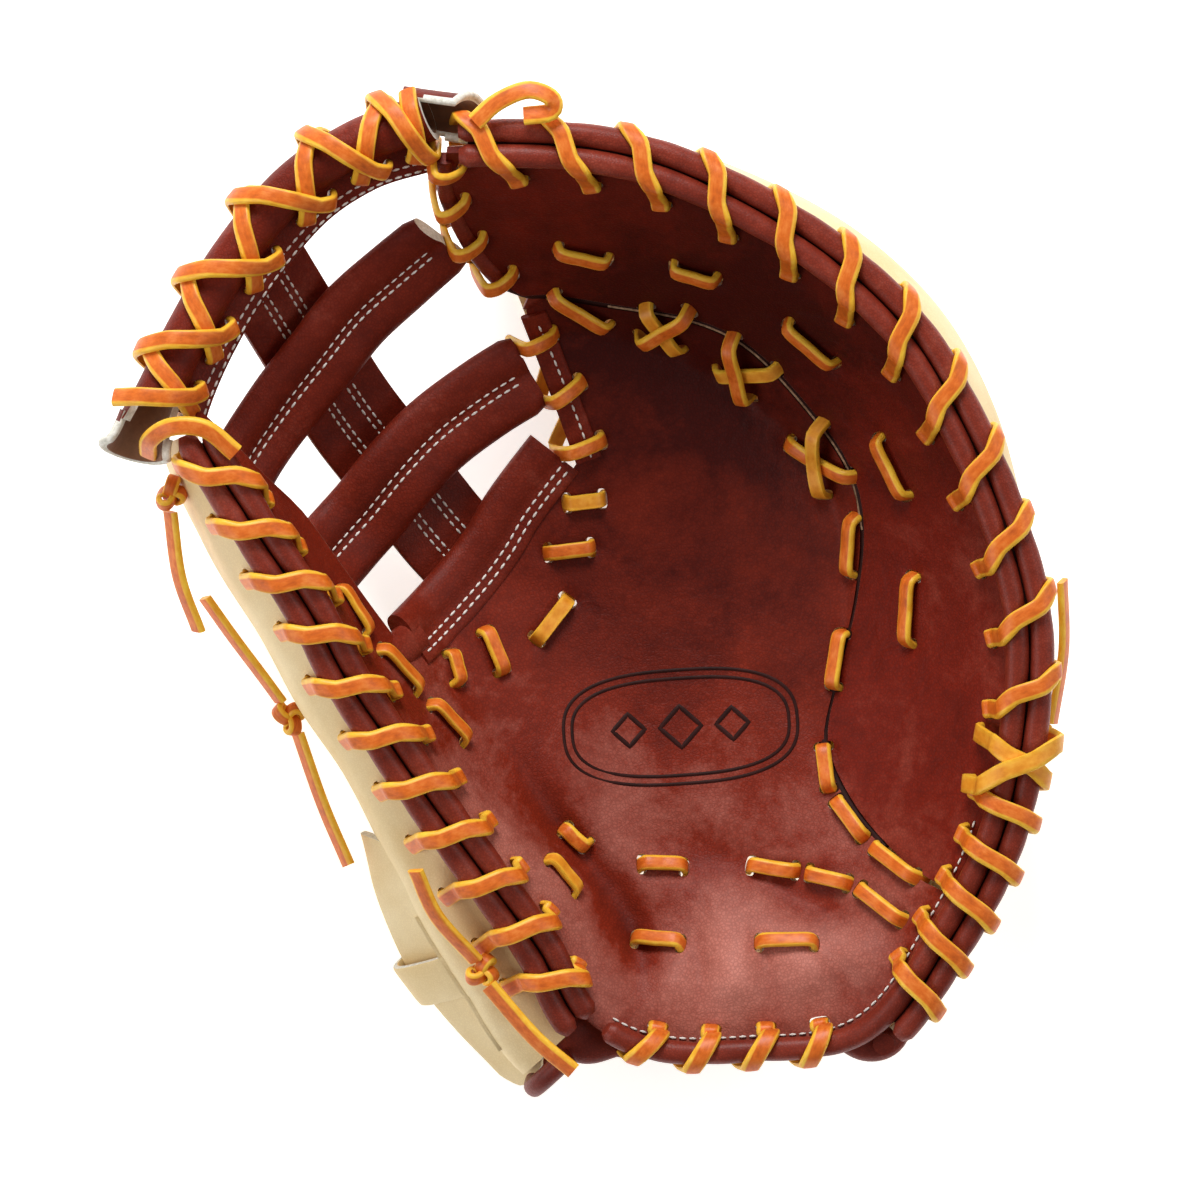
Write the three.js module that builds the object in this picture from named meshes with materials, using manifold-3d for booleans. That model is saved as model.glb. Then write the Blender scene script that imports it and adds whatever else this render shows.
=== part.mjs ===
// First baseman mitt for the left hand, lying open on its back with the pocket facing up.
// Frame: millimetres, +Z up, +Y from the heel towards the fingertips, +X towards the little finger.
// The palm is one deep bowl of leather. Every place on it is given by a bearing round the pocket
// and a share of the way from the pocket's lowest point (0) to the rim (1).
import * as THREE from "three";
import { mergeVertices } from "three/addons/utils/BufferGeometryUtils.js";
import Module from "manifold-3d";

const wasm = await Module();
wasm.setup();

// Driving sizes.
const MITT_WIDTH = 288; // thumb side to little finger side
const MITT_LENGTH = 305; // heel to fingertips, seen from above
const RIM_HEIGHT = 118; // floor to the welts at the fingertips
const POCKET_HEIGHT = 38; // floor to the palm leather at its lowest
const LEATHER = 2.4; // thickness of the palm and back leather
const WELT_DIAMETER = 7.2; // each of the two rolled welts along the rim
const WELT_SPACING = 7.7; // centre to centre of the two welts
const LACE_WIDTH = 5.2;
const LACE_THICKNESS = 1.7;
const LACE_HOLE_INSET = 11; // rim line to the lace holes
const BACK_TUCK = 2.5; // how far under the palm's edge the thumb's back ends
const RIM_LACE_PITCH = 24; // between the loops on the finger side
const THUMB_LACE_PITCH = 19; // between the loops on the thumb side
const HEEL_LACE_PITCH = 18;
const WEB_BAR_WIDTH = 27;
const WEB_BAR_THICKNESS = 7;
const WEB_POST_WIDTH = 30;
const WEB_POST_THICKNESS = 3.4;
const BASE_BAR_WIDTH = 15;
const TOP_BAR_DIAMETER = 14; // rolled part of the web's top bar
const TOP_BAR_FLANGE = 9; // stitched flat part of the top bar
const TOP_BAR_WALL = 1.8;
const KNOT_DIAMETER = 9;
const GAP = 0.35; // running clearance between neighbouring pieces
const SLIVER = 0.12; // facets flatter than this against their neighbours are merged

// Middle of the pocket, in percent of the mitt's width and length from the middle of the mitt.
const POCKET = { x: 4.3, y: -3.6 };

// The rim all the way round. reach is in percent of the width and length, from the pocket's
// middle to the line between the two welts. up is a share of RIM_HEIGHT. knee and kneeUp say
// where the wall turns up, as shares of the reach and the rise, and crease how sharply.
// bulge is how far the back leather stands out past the welts, in percent of the width.
const RIM = [
  { bearing: -99, reach: 40.9, up: 0.57, knee: 0.8, kneeUp: 0.7, crease: 0, bulge: 7.4 },
  { bearing: -90, reach: 44.0, up: 0.53, knee: 0.8, kneeUp: 0.8, crease: 0, bulge: 5 },
  { bearing: -75, reach: 46.0, up: 0.54, knee: 0.8, kneeUp: 0.8, crease: 0, bulge: 0 },
  { bearing: -60, reach: 48.8, up: 0.59, knee: 0.8, kneeUp: 0.68, crease: 0, bulge: 0 },
  { bearing: -45, reach: 46.0, up: 0.69, knee: 0.75, kneeUp: 0.42, crease: 0.3, bulge: 0 },
  { bearing: -30, reach: 44.0, up: 0.76, knee: 0.55, kneeUp: 0.16, crease: 0.6, bulge: 0.2 },
  { bearing: -15, reach: 42.0, up: 0.81, knee: 0.52, kneeUp: 0.13, crease: 0.8, bulge: 0.4 },
  { bearing: 0, reach: 41.0, up: 0.85, knee: 0.54, kneeUp: 0.13, crease: 0.9, bulge: 0.8 },
  { bearing: 15, reach: 39.6, up: 0.88, knee: 0.58, kneeUp: 0.14, crease: 1, bulge: 1.7 },
  { bearing: 30, reach: 39.3, up: 0.91, knee: 0.62, kneeUp: 0.16, crease: 1, bulge: 3.2 },
  { bearing: 45, reach: 40.3, up: 0.94, knee: 0.62, kneeUp: 0.16, crease: 1, bulge: 3.6 },
  { bearing: 60, reach: 41.3, up: 0.96, knee: 0.61, kneeUp: 0.16, crease: 1, bulge: 3.4 },
  { bearing: 75, reach: 43.0, up: 0.98, knee: 0.61, kneeUp: 0.17, crease: 1, bulge: 2.6 },
  { bearing: 90, reach: 46.0, up: 0.99, knee: 0.61, kneeUp: 0.18, crease: 1, bulge: 1.6 },
  { bearing: 105, reach: 49.2, up: 1.0, knee: 0.62, kneeUp: 0.2, crease: 0.8, bulge: 1.0 },
  { bearing: 113, reach: 51.6, up: 1.0, knee: 0.62, kneeUp: 0.22, crease: 0.4, bulge: 0.8 },
  { bearing: 124, reach: 55.6, up: 0.96, knee: 0.6, kneeUp: 0.3, crease: 0, bulge: 1 },
  { bearing: 136, reach: 57.0, up: 0.93, knee: 0.6, kneeUp: 0.34, crease: 0, bulge: 1 },
  { bearing: 148, reach: 55.4, up: 0.94, knee: 0.6, kneeUp: 0.32, crease: 0, bulge: 2 },
  { bearing: 157, reach: 51.2, up: 0.97, knee: 0.62, kneeUp: 0.28, crease: 0, bulge: 3.4 },
  { bearing: 166, reach: 42.8, up: 0.96, knee: 0.64, kneeUp: 0.22, crease: 0, bulge: 4.8 },
  { bearing: 177, reach: 35.6, up: 0.93, knee: 0.64, kneeUp: 0.2, crease: 0, bulge: 5.2 },
  { bearing: 190, reach: 31.8, up: 0.88, knee: 0.62, kneeUp: 0.2, crease: 0, bulge: 5.2 },
  { bearing: 205, reach: 29.2, up: 0.82, knee: 0.62, kneeUp: 0.2, crease: 0, bulge: 5.2 },
  { bearing: 222, reach: 28.8, up: 0.76, knee: 0.64, kneeUp: 0.24, crease: 0, bulge: 6.4 },
  { bearing: 238, reach: 30.6, up: 0.7, knee: 0.68, kneeUp: 0.34, crease: 0, bulge: 7.8 },
  { bearing: 252, reach: 34.8, up: 0.62, knee: 0.74, kneeUp: 0.5, crease: 0, bulge: 8.4 },
];

// Pads and folds pressed into the palm: place and half sizes in percent of the width and length,
// turn in degrees, rise as a share of LEATHER.
const FORMS = [
  { name: "thumb heel pad", x: -10, y: -33, across: 7, along: 12, turn: 25, rise: 2.0 },
  { name: "little finger heel pad", x: 19, y: -38, across: 13, along: 7, turn: 15, rise: 2.4 },
  { name: "thumb fold", x: -3.5, y: -26, across: 2.6, along: 13, turn: 32, rise: -1.8 },
  { name: "heel valley", x: 7, y: -33, across: 4, along: 9, turn: -10, rise: -1.2 },
  { name: "palm fold", x: 20, y: -31, across: 12, along: 2.6, turn: -24, rise: -1.6 },
];

// How the back leather runs from the welts down and under to its inner edge. out is a share of
// the rim's reach, up of the rim's height, and bulge of the bulge column. Near the heel the back
// lifts off the floor, to let the strap pass under it.
const BACK = [
  { t: 0, out: 1.0, up: 1, bulge: 0 },
  { t: 0.14, out: 1.0, up: 0.81, bulge: 0.85 },
  { t: 0.3, out: 0.99, up: 0.53, bulge: 1 },
  { t: 0.46, out: 0.93, up: 0.26, bulge: 0.8 },
  { t: 0.6, out: 0.82, up: 0.08, bulge: 0.4 },
  { t: 0.72, out: 0.68, up: 0, bulge: 0 },
  { t: 1, out: 0.34, up: 0, bulge: 0 },
];
const BACK_LIFT = [
  { bearing: -60, lift: 0.2 },
  { bearing: -46, lift: 0.15 },
  { bearing: -28, lift: 0 },
  { bearing: 100, lift: 0 },
  { bearing: 228, lift: 0 },
  { bearing: 246, lift: 0.1 },
  { bearing: 264, lift: 0.16 },
];

// Outlines of the palm and finger panels seen from above, in percent of the width and length.
const SEAM = [
  { x: -5.7, y: 28.8 },
  { x: 0.8, y: 27.8 },
  { x: 9.5, y: 26.3 },
  { x: 15.8, y: 23.4 },
  { x: 22.0, y: 17.3 },
  { x: 26.2, y: 11.5 },
  { x: 27.7, y: 5.5 },
  { x: 27.0, y: -2 },
  { x: 25.0, y: -10 },
  { x: 23.9, y: -16.2 },
  { x: 26.3, y: -21.8 },
  { x: 30.1, y: -26.4 },
  { x: 34.6, y: -29.9 },
  { x: 44.0, y: -33.5 },
];
const WEB_SIDE_OF_PALM = [
  { x: -2.4, y: 12.4 },
  { x: -9.9, y: 2.2 },
  { x: -19.6, y: -7.4 },
  { x: -22.2, y: -4.8 },
  { x: -27.9, y: 2.6 },
  { x: -31.6, y: 7.4 },
  { x: -35.5, y: 11.0 },
  { x: -39.2, y: 14.7 },
  { x: -42.0, y: 17.2 },
];
const WEB_SIDE_OF_FINGERS = [
  { x: -16.1, y: 44.0 },
  { x: -16.4, y: 39.6 },
  { x: -15.4, y: 36.9 },
  { x: -13.2, y: 33.2 },
  { x: -10.8, y: 30.6 },
  { x: -8.3, y: 29.0 },
];
const PALM_TOP_CORNER = { x: -7.9, y: 27.6 };

// Centre lines of the web's pieces, in percent of the width and length. sink is how far each lies
// below the bowl's surface, as a share of WEB_BAR_THICKNESS.
const UPPER_BAR = [
  { x: -35.8, y: 9.4, sink: 1.75 },
  { x: -35.2, y: 12.4, sink: 1.35 },
  { x: -33.0, y: 17.6, sink: 0.5 },
  { x: -29.2, y: 23.2, sink: 0 },
  { x: -25.9, y: 27.1, sink: 0 },
  { x: -21.3, y: 31.0, sink: 0 },
  { x: -16.8, y: 34.6, sink: 0 },
];
const LOWER_BAR = [
  { x: -29.0, y: -0.8, sink: 1.9 },
  { x: -27.5, y: 2.6, sink: 1.35 },
  { x: -24.5, y: 6.9, sink: 0.5 },
  { x: -21.4, y: 11.2, sink: 0 },
  { x: -17.3, y: 15.2, sink: 0 },
  { x: -12.2, y: 18.8, sink: 0 },
  { x: -7.6, y: 21.5, sink: 0 },
];
const BASE_BAR = [
  { x: -20.6, y: -5.0, sink: 0.15 },
  { x: -16.8, y: -1.2, sink: 0.15 },
  { x: -12.6, y: 3.6, sink: 0.15 },
  { x: -9.5, y: 8.4, sink: 0.15 },
  { x: -5.3, y: 13.6, sink: 0.15 },
];
const POST = [
  { x: -35.2, y: 31.5, sink: 1.0 },
  { x: -34.4, y: 30.3, sink: 1.0 },
  { x: -29.8, y: 23.2, sink: 1.0 },
  { x: -25.0, y: 16.2, sink: 1.35 },
  { x: -20.2, y: 10.4, sink: 1.35 },
  { x: -16.0, y: 5.3, sink: 1.2 },
  { x: -12.4, y: 1.6, sink: 1.1 },
];
// Middle line of the web's top bar, from the finger side to the thumb side. up is a share of
// RIM_HEIGHT and flare how wide its section is against the middle of the bar.
const TOP_BAR = [
  { x: -17.4, y: 45.4, up: 0.94, flare: 1.2 },
  { x: -19.4, y: 44.7, up: 0.93, flare: 1.05 },
  { x: -25.3, y: 42.7, up: 0.92, flare: 1 },
  { x: -31.6, y: 38.7, up: 0.9, flare: 1 },
  { x: -37.6, y: 31.9, up: 0.89, flare: 1 },
  { x: -42.2, y: 24.6, up: 0.89, flare: 1 },
  { x: -45.1, y: 18.6, up: 0.9, flare: 1.05 },
  { x: -46.4, y: 15.2, up: 0.9, flare: 1.25 },
];

// Value of a column between a table's rows, as a smooth curve through them. A period joins the
// last row to the first.
function value(table, column, at, by = "bearing", period = 0) {
  const count = table.length;
  const row = (i) => {
    const turn = period ? Math.floor(i / count) : 0;
    const k = period ? i - turn * count : Math.min(Math.max(i, 0), count - 1);
    return { at: table[k][by] + turn * period, value: table[k][column] };
  };
  if (period) at = table[0][by] + (((at - table[0][by]) % period) + period) % period;
  let i = 0;
  while (i < count - (period ? 1 : 2) && row(i + 1).at <= at) i += 1;
  const [a, b, c, d] = [row(i - 1), row(i), row(i + 1), row(i + 2)];
  const width = c.at - b.at;
  const slope = (p, q) => (q.at === p.at ? 0 : (q.value - p.value) / (q.at - p.at));
  const t = Math.min(Math.max((at - b.at) / width, 0), 1);
  const t2 = t * t;
  const t3 = t2 * t;
  return (
    (2 * t3 - 3 * t2 + 1) * b.value +
    (t3 - 2 * t2 + t) * width * slope(a, c) +
    (3 * t2 - 2 * t3) * c.value +
    (t3 - t2) * width * slope(b, d)
  );
}

const rim = (column, bearing) => value(RIM, column, bearing, "bearing", 360);
const radians = THREE.MathUtils.degToRad;
const place = (x, y) => new THREE.Vector2((x / 100) * MITT_WIDTH, (y / 100) * MITT_LENGTH);

// Point of the line between the welts, at a bearing.
function rimPoint(bearing) {
  const reach = rim("reach", bearing);
  const at = place(
    POCKET.x + reach * Math.cos(radians(bearing)),
    POCKET.y + reach * Math.sin(radians(bearing)),
  );
  return new THREE.Vector3(at.x, at.y, RIM_HEIGHT * rim("up", bearing));
}

// Directions at a bearing of the rim: along it anticlockwise, and level outwards.
function rimFrame(bearing) {
  const step = 0.5;
  const along = rimPoint(bearing + step).sub(rimPoint(bearing - step)).normalize();
  const out = new THREE.Vector3(along.y, -along.x, 0).normalize();
  return { point: rimPoint(bearing), along, out, up: new THREE.Vector3(0, 0, 1) };
}

// Height of the pads and folds at a place given in percent.
function formAt(x, y) {
  let height = 0;
  for (const form of FORMS) {
    const turn = radians(form.turn);
    const dx = x - form.x;
    const dy = y - form.y;
    const a = (dx * Math.cos(turn) + dy * Math.sin(turn)) / form.across;
    const b = (dy * Math.cos(turn) - dx * Math.sin(turn)) / form.along;
    height += form.rise * LEATHER * Math.exp(-a * a - b * b);
  }
  return height;
}

// Share of the rise from the pocket to the rim, at a share of the reach.
function rise(bearing, share) {
  const knee = rim("knee", bearing);
  const kneeUp = rim("kneeUp", bearing);
  if (share < knee) return kneeUp * (share / knee) ** 2;
  const smooth = (((2 * kneeUp) / knee) * (1 - knee)) / (1 - kneeUp);
  const start = THREE.MathUtils.lerp(smooth, 0.85, rim("crease", bearing));
  const t = (share - knee) / (1 - knee);
  return kneeUp + (1 - kneeUp) * (start * t + (1 - start) * t * t);
}

// Upper face of the bowl. Share 1 is the leather's edge, just under the inner welt.
function bowl(bearing, share) {
  const { point, out } = rimFrame(bearing);
  const edge = point.clone().addScaledVector(out, -LEATHER - GAP);
  const middle = place(POCKET.x, POCKET.y);
  const x = THREE.MathUtils.lerp(middle.x, edge.x, share);
  const y = THREE.MathUtils.lerp(middle.y, edge.y, share);
  const top = point.z - WELT_DIAMETER / 2 - 2 * GAP;
  const fade = Math.min(1, Math.max(0, (1 - share) / 0.15));
  const form = formAt((x / MITT_WIDTH) * 100, (y / MITT_LENGTH) * 100) * fade;
  return new THREE.Vector3(x, y, POCKET_HEIGHT + (top - POCKET_HEIGHT) * rise(bearing, share) + form);
}

// Upward normal of a surface given as a function of two numbers.
function normalOf(surface, u, v, stepU, stepV) {
  const a = surface(u + stepU, v).sub(surface(u - stepU, v));
  const b = surface(u, v + stepV).sub(surface(u, v - stepV));
  return a.cross(b).normalize();
}

function bowlNormal(bearing, share) {
  const normal = normalOf(bowl, bearing, Math.max(share, 0.05), 1, -0.02);
  return normal.z < 0 ? normal.negate() : normal;
}

// Bearing and share of the bowl over a place given in percent.
function onBowl(x, y) {
  const at = place(x, y);
  const middle = place(POCKET.x, POCKET.y);
  const dx = ((at.x - middle.x) / MITT_WIDTH) * 100;
  const dy = ((at.y - middle.y) / MITT_LENGTH) * 100;
  const bearing = THREE.MathUtils.radToDeg(Math.atan2(dy, dx));
  const edge = bowl(bearing, 1);
  const whole = Math.hypot(edge.x - middle.x, edge.y - middle.y);
  const share = Math.hypot(at.x - middle.x, at.y - middle.y) / whole;
  const point = bowl(bearing, share);
  return { point: new THREE.Vector3(at.x, at.y, point.z), normal: bowlNormal(bearing, share) };
}

// Turns a mesh geometry into a solid, with its faces pointing outwards.
function solid(geometry) {
  const bare = geometry.clone();
  for (const name of Object.keys(bare.attributes)) if (name !== "position") bare.deleteAttribute(name);
  const merged = mergeVertices(bare, 1e-4);
  const mesh = { numProp: 3, vertProperties: merged.attributes.position.array };
  const index = Uint32Array.from(merged.index.array);
  let made = new wasm.Manifold(new wasm.Mesh({ ...mesh, triVerts: index }));
  if (made.volume() < 0) {
    for (let i = 0; i < index.length; i += 3) [index[i + 1], index[i + 2]] = [index[i + 2], index[i + 1]];
    made = new wasm.Manifold(new wasm.Mesh({ ...mesh, triVerts: index }));
  }
  return made;
}

// The biggest body of a solid, without slivers.
function cleaned(manifold) {
  const bodies = manifold.asOriginal().simplify(SLIVER).decompose();
  return bodies.reduce((a, b) => (b.volume() > a.volume() ? b : a));
}

function geometryOf(manifold) {
  const mesh = cleaned(manifold).getMesh();
  const count = mesh.numProp;
  const position = new Float32Array(mesh.numVert * 3);
  for (let i = 0; i < mesh.numVert; i += 1) {
    position.set(mesh.vertProperties.subarray(i * count, i * count + 3), i * 3);
  }
  return new THREE.BufferGeometry()
    .setAttribute("position", new THREE.BufferAttribute(position, 3))
    .setIndex(new THREE.BufferAttribute(mesh.triVerts, 1));
}

// Moves every vertex of a geometry by a function of its place.
function bend(geometry, move) {
  const position = geometry.attributes.position;
  const at = new THREE.Vector3();
  for (let i = 0; i < position.count; i += 1) {
    at.fromBufferAttribute(position, i);
    const to = move(at.x, at.y, at.z);
    position.setXYZ(i, to.x, to.y, to.z);
  }
  return geometry;
}

// The whole bowl of leather, as a disc whose rings are the shares of the reach.
function bowlWall(bearings, shares) {
  const profile = [
    ...shares.map((share) => new THREE.Vector2(share, 1)),
    ...[...shares].reverse().map((share) => new THREE.Vector2(share, 0)),
  ];
  const disc = new THREE.LatheGeometry(profile, bearings);
  return solid(
    bend(disc, (x, y, z) => {
      const share = Math.hypot(x, z);
      const bearing = share < 1e-6 ? 0 : THREE.MathUtils.radToDeg(Math.atan2(z, x));
      const at = bowl(bearing, share);
      if (share < 1e-6) return at.setZ(at.z - (1 - y) * LEATHER);
      return at.addScaledVector(bowlNormal(bearing, share), (y - 1) * LEATHER);
    }),
  );
}

// A wall that follows a surface of two numbers, each from 0 to 1, as thick as the leather.
function wall(acrossCount, alongCount, surface, outward) {
  const box = new THREE.BoxGeometry(1, 1, 1, acrossCount, alongCount, 1);
  const clamp = (v) => Math.min(Math.max(v, 0.002), 0.998);
  return solid(
    bend(box, (x, y, z) => {
      const [u, v] = [x + 0.5, y + 0.5];
      const normal = normalOf(surface, clamp(u), clamp(v), 0.002, 0.002);
      return surface(u, v).addScaledVector(normal, outward * (0.5 - z) * LEATHER);
    }),
  );
}

// A straight column over an outline seen from above, tall enough to cut any panel.
function column(outline) {
  const shape = new THREE.Shape(outline.map(({ x, y }) => place(x, y)));
  const tall = new THREE.ExtrudeGeometry(shape, { depth: 2 * RIM_HEIGHT, bevelEnabled: false });
  return solid(tall.translate(0, 0, -RIM_HEIGHT / 2));
}

// A section swept along points. Each station has a point, a side and an up direction.
// The section is a list of places across and above the centre line.
function sweep(stations, section) {
  const sides = section.length;
  const tube = new THREE.CylinderGeometry(1, 1, 1, sides, stations.length - 1);
  const count = stations.length - 1;
  return solid(
    bend(tube, (x, y, z) => {
      const station = stations[Math.round((0.5 - y) * count)];
      if (Math.hypot(x, z) < 1e-6) return station.point.clone();
      const turn = (Math.atan2(x, z) / (2 * Math.PI) + 1) % 1;
      const [across, above] = section[Math.round(turn * sides) % sides];
      const scale = station.scale ?? 1;
      return station.point
        .clone()
        .addScaledVector(station.side, across * scale)
        .addScaledVector(station.up, above * scale);
    }),
  );
}

const flatSection = (width, thickness) => [
  [-width / 2, -thickness / 2],
  [width / 2, -thickness / 2],
  [width / 2, thickness / 2],
  [-width / 2, thickness / 2],
];

const ovalSection = (width, thickness, sides) =>
  Array.from({ length: sides }, (_, i) => {
    const turn = ((i + 0.5) / sides) * 2 * Math.PI;
    return [(width / 2) * Math.cos(turn), (thickness / 2) * Math.sin(turn)];
  });

// Stations along a list of points with up directions.
function stationsOf(points, ups) {
  return points.map((point, i) => {
    const before = points[Math.max(i - 1, 0)];
    const after = points[Math.min(i + 1, points.length - 1)];
    const into = point.clone().sub(before).normalize();
    const onwards = after.clone().sub(point).normalize();
    const along = into.add(onwards).normalize();
    const side = along.clone().cross(ups[i]).normalize();
    const up = side.clone().cross(along).normalize();
    return { point, side, up };
  });
}

// Stations of a web piece: its centre line on the bowl, lowered by its sink column.
function webStations(line, count) {
  const rows = line.map((row, i) => ({ ...row, t: i / (line.length - 1) }));
  const points = [];
  const ups = [];
  for (let i = 0; i <= count; i += 1) {
    const t = i / count;
    const { point, normal } = onBowl(value(rows, "x", t, "t"), value(rows, "y", t, "t"));
    const sink = value(rows, "sink", t, "t") * WEB_BAR_THICKNESS;
    points.push(point.addScaledVector(normal, -sink));
    ups.push(normal);
  }
  return stationsOf(points, ups);
}

// One of the two welts, as a tube along part of the rim.
function welt(from, to, count, side) {
  const points = [];
  const ups = [];
  for (let i = 0; i <= count; i += 1) {
    const { point, out, up } = rimFrame(from + ((to - from) * i) / count);
    points.push(point.addScaledVector(out, (side * WELT_SPACING) / 2));
    ups.push(up);
  }
  return sweep(stationsOf(points, ups), ovalSection(WELT_DIAMETER, WELT_DIAMETER, 6));
}

// Outer face of the back leather, at a bearing and a share of the way from the welts to its edge.
function backFace(bearing, t) {
  const { point, out } = rimFrame(bearing);
  const middle = place(POCKET.x, POCKET.y);
  const share = value(BACK, "out", t, "t");
  const stand = (value(BACK, "bulge", t, "t") * rim("bulge", bearing) * MITT_WIDTH) / 100;
  const top = point.z - WELT_DIAMETER / 2 - 2 * GAP;
  const edge = point.clone().addScaledVector(out, LEATHER + GAP);
  const bottom = value(BACK_LIFT, "lift", bearing) * RIM_HEIGHT;
  return new THREE.Vector3(
    THREE.MathUtils.lerp(middle.x, edge.x, share) + out.x * stand,
    THREE.MathUtils.lerp(middle.y, edge.y, share) + out.y * stand,
    THREE.MathUtils.lerp(bottom, top, Math.max(0, value(BACK, "up", t, "t"))),
  );
}

function backPanel(from, to, bearings, rows) {
  const panel = wall(bearings, rows, (u, v) => backFace(from + (to - from) * u, v), to > from ? 1 : -1);
  return panel.intersect(aboveFloor());
}

const aboveFloor = () => wasm.Manifold.cube([800, 800, 400], true).translate([0, 0, 200]);

// Bearings along the rim a given distance apart.
function spacedBearings(from, to, pitch) {
  const steps = 400;
  const found = [];
  let walked = 0;
  let last = rimPoint(from);
  for (let i = 0; i <= steps; i += 1) {
    const bearing = from + ((to - from) * i) / steps;
    const point = rimPoint(bearing);
    walked += point.distanceTo(last);
    last = point;
    if (walked >= found.length * pitch) found.push(bearing);
  }
  return found;
}

// Lace holes: on the palm a given distance in from the rim, on the back just below the welts,
// and at the heel the underside of the palm leather's own edge.
function palmHole(bearing, inset = 1) {
  const { point } = rimFrame(bearing);
  const middle = place(POCKET.x, POCKET.y);
  const depth = inset * LACE_HOLE_INSET - LEATHER;
  const share = 1 - depth / Math.hypot(point.x - middle.x, point.y - middle.y);
  return { point: bowl(bearing, share), normal: bowlNormal(bearing, share) };
}

function backHole(bearing) {
  const t = 0.07;
  const normal = normalOf(backFace, bearing, t, 1, 0.01);
  const outward = rimFrame(bearing).out;
  return { point: backFace(bearing, t), normal: normal.dot(outward) < 0 ? normal.negate() : normal };
}

function heelEdge(bearing) {
  const { point, out, up } = rimFrame(bearing);
  const below = WELT_DIAMETER / 2 + 2 * GAP + LEATHER;
  point.addScaledVector(out, -1.2).addScaledVector(up, -below);
  return { point, normal: up.negate() };
}

const laceLift = LACE_THICKNESS / 2 + 1.6 * GAP;

// A flat lace through points, and the slots to cut where it goes through leather. Each entry of
// through has the first of the two points either side of a slot, and the one on the seen side.
// There the lace lies square to the stretch that is seen, and it leaves the slot straight.
function ribbon(points, ups, through = []) {
  const squared = new Map();
  const straight = new Map();
  for (const [first, seen] of through) {
    const run = seen === first ? [first - 1, first] : [seen, seen + 1];
    const along = points[run[1]].clone().sub(points[run[0]]);
    const across = along.cross(ups[seen]).normalize();
    squared.set(first, across).set(first + 1, across);
    const down = points[first + 1].clone().sub(points[first]).normalize();
    straight.set(seen === first ? first + 1 : first, down);
  }
  const stations = [];
  let side = null;
  points.forEach((point, i) => {
    const before = points[Math.max(i - 1, 0)];
    const after = points[Math.min(i + 1, points.length - 1)];
    const along = straight.get(i)?.clone() ?? after.clone().sub(before).normalize();
    const across = squared.get(i)?.clone() ?? along.clone().cross(ups[i]);
    if (side && across.dot(side) < 0) across.negate();
    if (across.length() > 0.5 || !side) side = across;
    side = side.clone().addScaledVector(along, -side.dot(along)).normalize();
    stations.push({ point, side, up: side.clone().cross(along).normalize() });
  });
  const slots = through.map(([first]) => {
    const [a, b] = [stations[first].point, stations[first + 1].point];
    const along = b.clone().sub(a).normalize();
    const across = squared.get(first).clone();
    across.addScaledVector(along, -across.dot(along)).normalize();
    const up = across.clone().cross(along).normalize();
    const ends = [
      { point: a.clone().addScaledVector(along, -1), side: across, up },
      { point: b.clone().addScaledVector(along, 1), side: across, up },
    ];
    return sweep(ends, flatSection(LACE_WIDTH + 3 * GAP, LACE_THICKNESS + 5 * GAP));
  });
  return { lace: sweep(stations, flatSection(LACE_WIDTH, LACE_THICKNESS)), slots };
}

// A lace whipped over the welts, into the palm leather and out of the back, again and again.
// slant is how far each loop runs on along the rim, as a share of the pitch, at the first and the
// last loop. Each row of over is a welt's side of the rim line and a direction round it.
function whipLace({ bearings, slant, over, outerHole, inside = true, lift = laceLift, inset = [1, 1] }) {
  const round = WELT_DIAMETER / 2 + lift;
  const points = [];
  const ups = [];
  const through = [];
  const add = (point, up) => {
    points.push(point);
    ups.push(up);
  };
  const last = bearings.length - 1;
  bearings.forEach((bearing, i) => {
    const next = bearings[Math.min(i + 1, last)];
    const before = bearings[Math.max(i - 1, 0)];
    const step = (next - before) / (i === 0 || i === last ? 1 : 2);
    const lean = THREE.MathUtils.lerp(slant[0], slant[1], i / last);
    const at = (share) => bearing + step * lean * (share - 0.5);
    const depth = THREE.MathUtils.lerp(inset[0], inset[1], i / last);
    const inner = palmHole(at(1), depth);
    const outer = outerHole(at(0));
    if (inside) {
      through.push([points.length, points.length + 1]);
      add(outer.point.clone().addScaledVector(outer.normal, -1.4 * lift - LEATHER), outer.normal);
    }
    add(outer.point.clone().addScaledVector(outer.normal, lift), outer.normal);
    for (const [side, angle] of over) {
      const share = 0.5 - 0.33 * Math.cos(radians(angle)) - side * 0.1;
      const { point, out, up } = rimFrame(at(share));
      const direction = out
        .multiplyScalar(Math.cos(radians(angle)))
        .addScaledVector(up, Math.sin(radians(angle)));
      const level = rimFrame(at(share)).out;
      add(point.addScaledVector(level, (side * WELT_SPACING) / 2).addScaledVector(direction, round), direction);
    }
    const near = palmHole(at(0.92), depth * 0.9);
    add(near.point.addScaledVector(near.normal, lift + GAP), near.normal);
    through.push([points.length, points.length]);
    add(inner.point.clone().addScaledVector(inner.normal, lift + GAP), inner.normal);
    add(inner.point.clone().addScaledVector(inner.normal, -1.4 * lift - LEATHER), inner.normal);
  });
  return ribbon(points, ups, through);
}

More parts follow.
